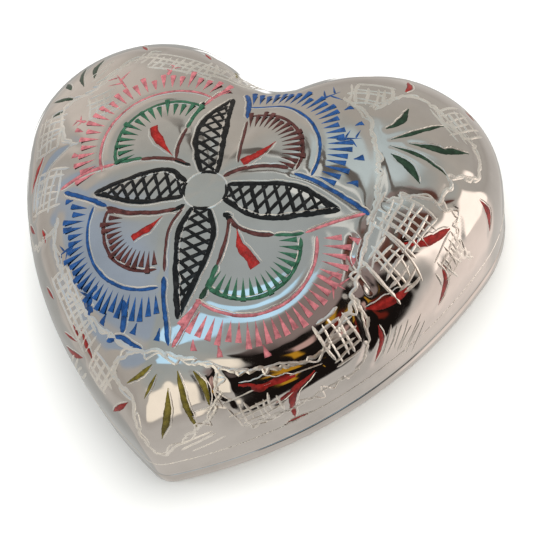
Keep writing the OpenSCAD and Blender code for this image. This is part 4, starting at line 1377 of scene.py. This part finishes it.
ROOM = (  # the room's colour from straight down to straight up
    (0.0, linear("#DAD4CE")), (0.3, linear("#DCD6D0")), (0.46, linear("#C9C2BB")), (0.56, linear("#CFC9C2")),
    (0.75, linear("#D2CBC2")), (0.9, linear("#BEC4C2")), (1.0, linear("#BCC4C6")),
)


def card(distance, name, azimuth, elevation, width, height, colour, strength, soft):
    """A glowing card that shows only as a reflection, fading out towards its edges."""
    half = [distance * math.tan(math.radians(size / 2)) for size in (width, height)]
    material, tree, place = new_material("card_" + name)
    parts = add_node(tree, "ShaderNodeSeparateXYZ", (), {"Vector": place})
    masks = []
    for axis, reach in zip("XY", half):
        away = add_node(tree, "ShaderNodeMath", {"operation": "ABSOLUTE"}, {0: parts.outputs[axis]})
        masks.append(add_node(
            tree, "ShaderNodeMapRange",
            {"interpolation_type": "SMOOTHSTEP", "From Min": reach, "From Max": reach * (1 - soft)},
            {"Value": away.outputs[0]},
        ))
    mask = add_node(
        tree, "ShaderNodeMath", {"operation": "MULTIPLY"},
        {0: masks[0].outputs["Result"], 1: masks[1].outputs["Result"]}
    )
    glow = add_node(tree, "ShaderNodeEmission", {"Color": linear(colour), "Strength": strength})
    clear = add_node(tree, "ShaderNodeBsdfTransparent")
    mix = add_node(
        tree, "ShaderNodeMixShader", (),
        {"Fac": mask.outputs[0], 1: clear.outputs["BSDF"], 2: glow.outputs["Emission"]},
    )
    add_node(tree, "ShaderNodeOutputMaterial", (), {"Surface": mix.outputs["Shader"]})
    x, y = half
    corners = [(-x, -y, 0), (x, -y, 0), (x, y, 0), (-x, y, 0)]
    made = object_from("card_" + name, corners, [(0, 1, 2, 3)], material)
    made.matrix_world = aimed(azimuth, elevation, distance)
    made.visible_camera = made.visible_diffuse = made.visible_shadow = False


FLOOR_HALF, FLOOR_Z = 4.0, -0.05 * MM
EYE_PLACE = (0.101245, -0.137779, 0.262983)  # in metres
EYE_AXES = (  # the camera's own right, up and backward directions
    (0.9326, 0.3164, -0.1735), (-0.1862, 0.8337, 0.5198), (0.3091, -0.4525, 0.8365),
)
LENS, FILM_WIDTH = 92.86, 36.0  # in millimetres


class MUSICBOX_OT_stage(bpy.types.Operator):
    """Sets the floor, the soft lights and the camera"""

    bl_idname = "musicbox.stage"
    bl_label = "Stage"

    def execute(self, context):
        light = context.scene.musicbox_light
        world = bpy.data.worlds.new("room")
        world.use_nodes = True
        tree = world.node_tree
        tree.nodes.clear()
        around = add_node(tree, "ShaderNodeTexCoord").outputs["Generated"]
        height = add_node(tree, "ShaderNodeSeparateXYZ", (), {"Vector": around}).outputs["Z"]
        share = add_node(tree, "ShaderNodeMapRange", {"From Min": -1.0, "From Max": 1.0}, {"Value": height})
        sky = add_node(tree, "ShaderNodeValToRGB", {"stops": ROOM}, {"Fac": share.outputs["Result"]})
        glow = add_node(
            tree, "ShaderNodeBackground", {"Strength": light.room}, {"Color": sky.outputs["Color"]}
        )
        add_node(tree, "ShaderNodeOutputWorld", (), {"Surface": glow.outputs["Background"]})
        context.scene.world = world
        corners = [(x * FLOOR_HALF, y * FLOOR_HALF, FLOOR_Z) for x, y in ((-1, -1), (1, -1), (1, 1), (-1, 1))]
        floor = object_from("floor", corners, [(0, 1, 2, 3)], self.paper(light))
        floor.visible_glossy = False
        soft_light("overhead", 20, 70, 1.0, light.key, "#FFFDFA")
        soft_light("side", -110, 40, 0.6, light.key * 0.3, "#F2F7FF")
        for order, row in enumerate(CARDS):
            card(CARD_DISTANCE - 0.02 * order, *row)
        self.camera(context)
        context.scene.view_settings.view_transform = "Standard"
        return {"FINISHED"}

    def paper(self, light):
        """White studio paper: matt, with a faint tooth."""
        material, tree, place = new_material("studio_paper_white")
        tooth = add_node(tree, "ShaderNodeTexNoise", {"Scale": 900.0, "Detail": 3.0}, {"Vector": place})
        bump = add_node(
            tree, "ShaderNodeBump", {"Strength": 0.05, "Distance": 0.05 * MM},
            {"Height": tooth.outputs["Fac"]}
        )
        shader = add_node(
            tree, "ShaderNodeBsdfPrincipled", {"Base Color": tuple(light.floor), "Roughness": 0.85},
            {"Normal": bump.outputs["Normal"]},
        )
        add_node(tree, "ShaderNodeOutputMaterial", (), {"Surface": shader.outputs["BSDF"]})
        return material

    def camera(self, context):
        data = bpy.data.cameras.new("camera")
        data.lens, data.sensor_width = LENS, FILM_WIDTH
        data.clip_start, data.clip_end = 0.01, 20.0
        eye = bpy.data.objects.new("camera", data)
        eye.matrix_world = Matrix.Translation(EYE_PLACE) @ Matrix(EYE_AXES).transposed().to_4x4()
        context.scene.collection.objects.link(eye)
        context.scene.camera = eye


# ---------------------------------------------------------------- add-on


class MUSICBOX_PT_panel(bpy.types.Panel):
    """Lists the steps that build the music box"""

    bl_label = "Music box"
    bl_idname = "MUSICBOX_PT_panel"
    bl_space_type = "VIEW_3D"
    bl_region_type = "UI"
    bl_category = "Music box"

    def draw(self, context):
        for group in ("musicbox_shape", "musicbox_cuts", "musicbox_light"):
            settings = getattr(context.scene, group)
            box = self.layout.box()
            for name in settings.__annotations__:
                box.prop(settings, name)
        for step in STEPS:
            self.layout.operator(step.bl_idname)


STEPS = (
    MUSICBOX_OT_stage, MUSICBOX_OT_movement, MUSICBOX_OT_base, MUSICBOX_OT_tray, MUSICBOX_OT_lid,
    MUSICBOX_OT_lacquer, MUSICBOX_OT_fans, MUSICBOX_OT_bright_cuts,
)
CLASSES = (BoxShape, CutStyle, StageLight, *STEPS, MUSICBOX_PT_panel)
GROUPS = {"musicbox_shape": BoxShape, "musicbox_cuts": CutStyle, "musicbox_light": StageLight}


def register():
    for item in CLASSES:
        bpy.utils.register_class(item)
    for name, group in GROUPS.items():
        setattr(bpy.types.Scene, name, PointerProperty(type=group))


def unregister():
    for name in GROUPS:
        delattr(bpy.types.Scene, name)
    for item in reversed(CLASSES):
        bpy.utils.unregister_class(item)


def main():
    register()
    for step in STEPS:
        group, name = step.bl_idname.split(".")
        getattr(getattr(bpy.ops, group), name)()


if __name__ == "__main__":
    main()
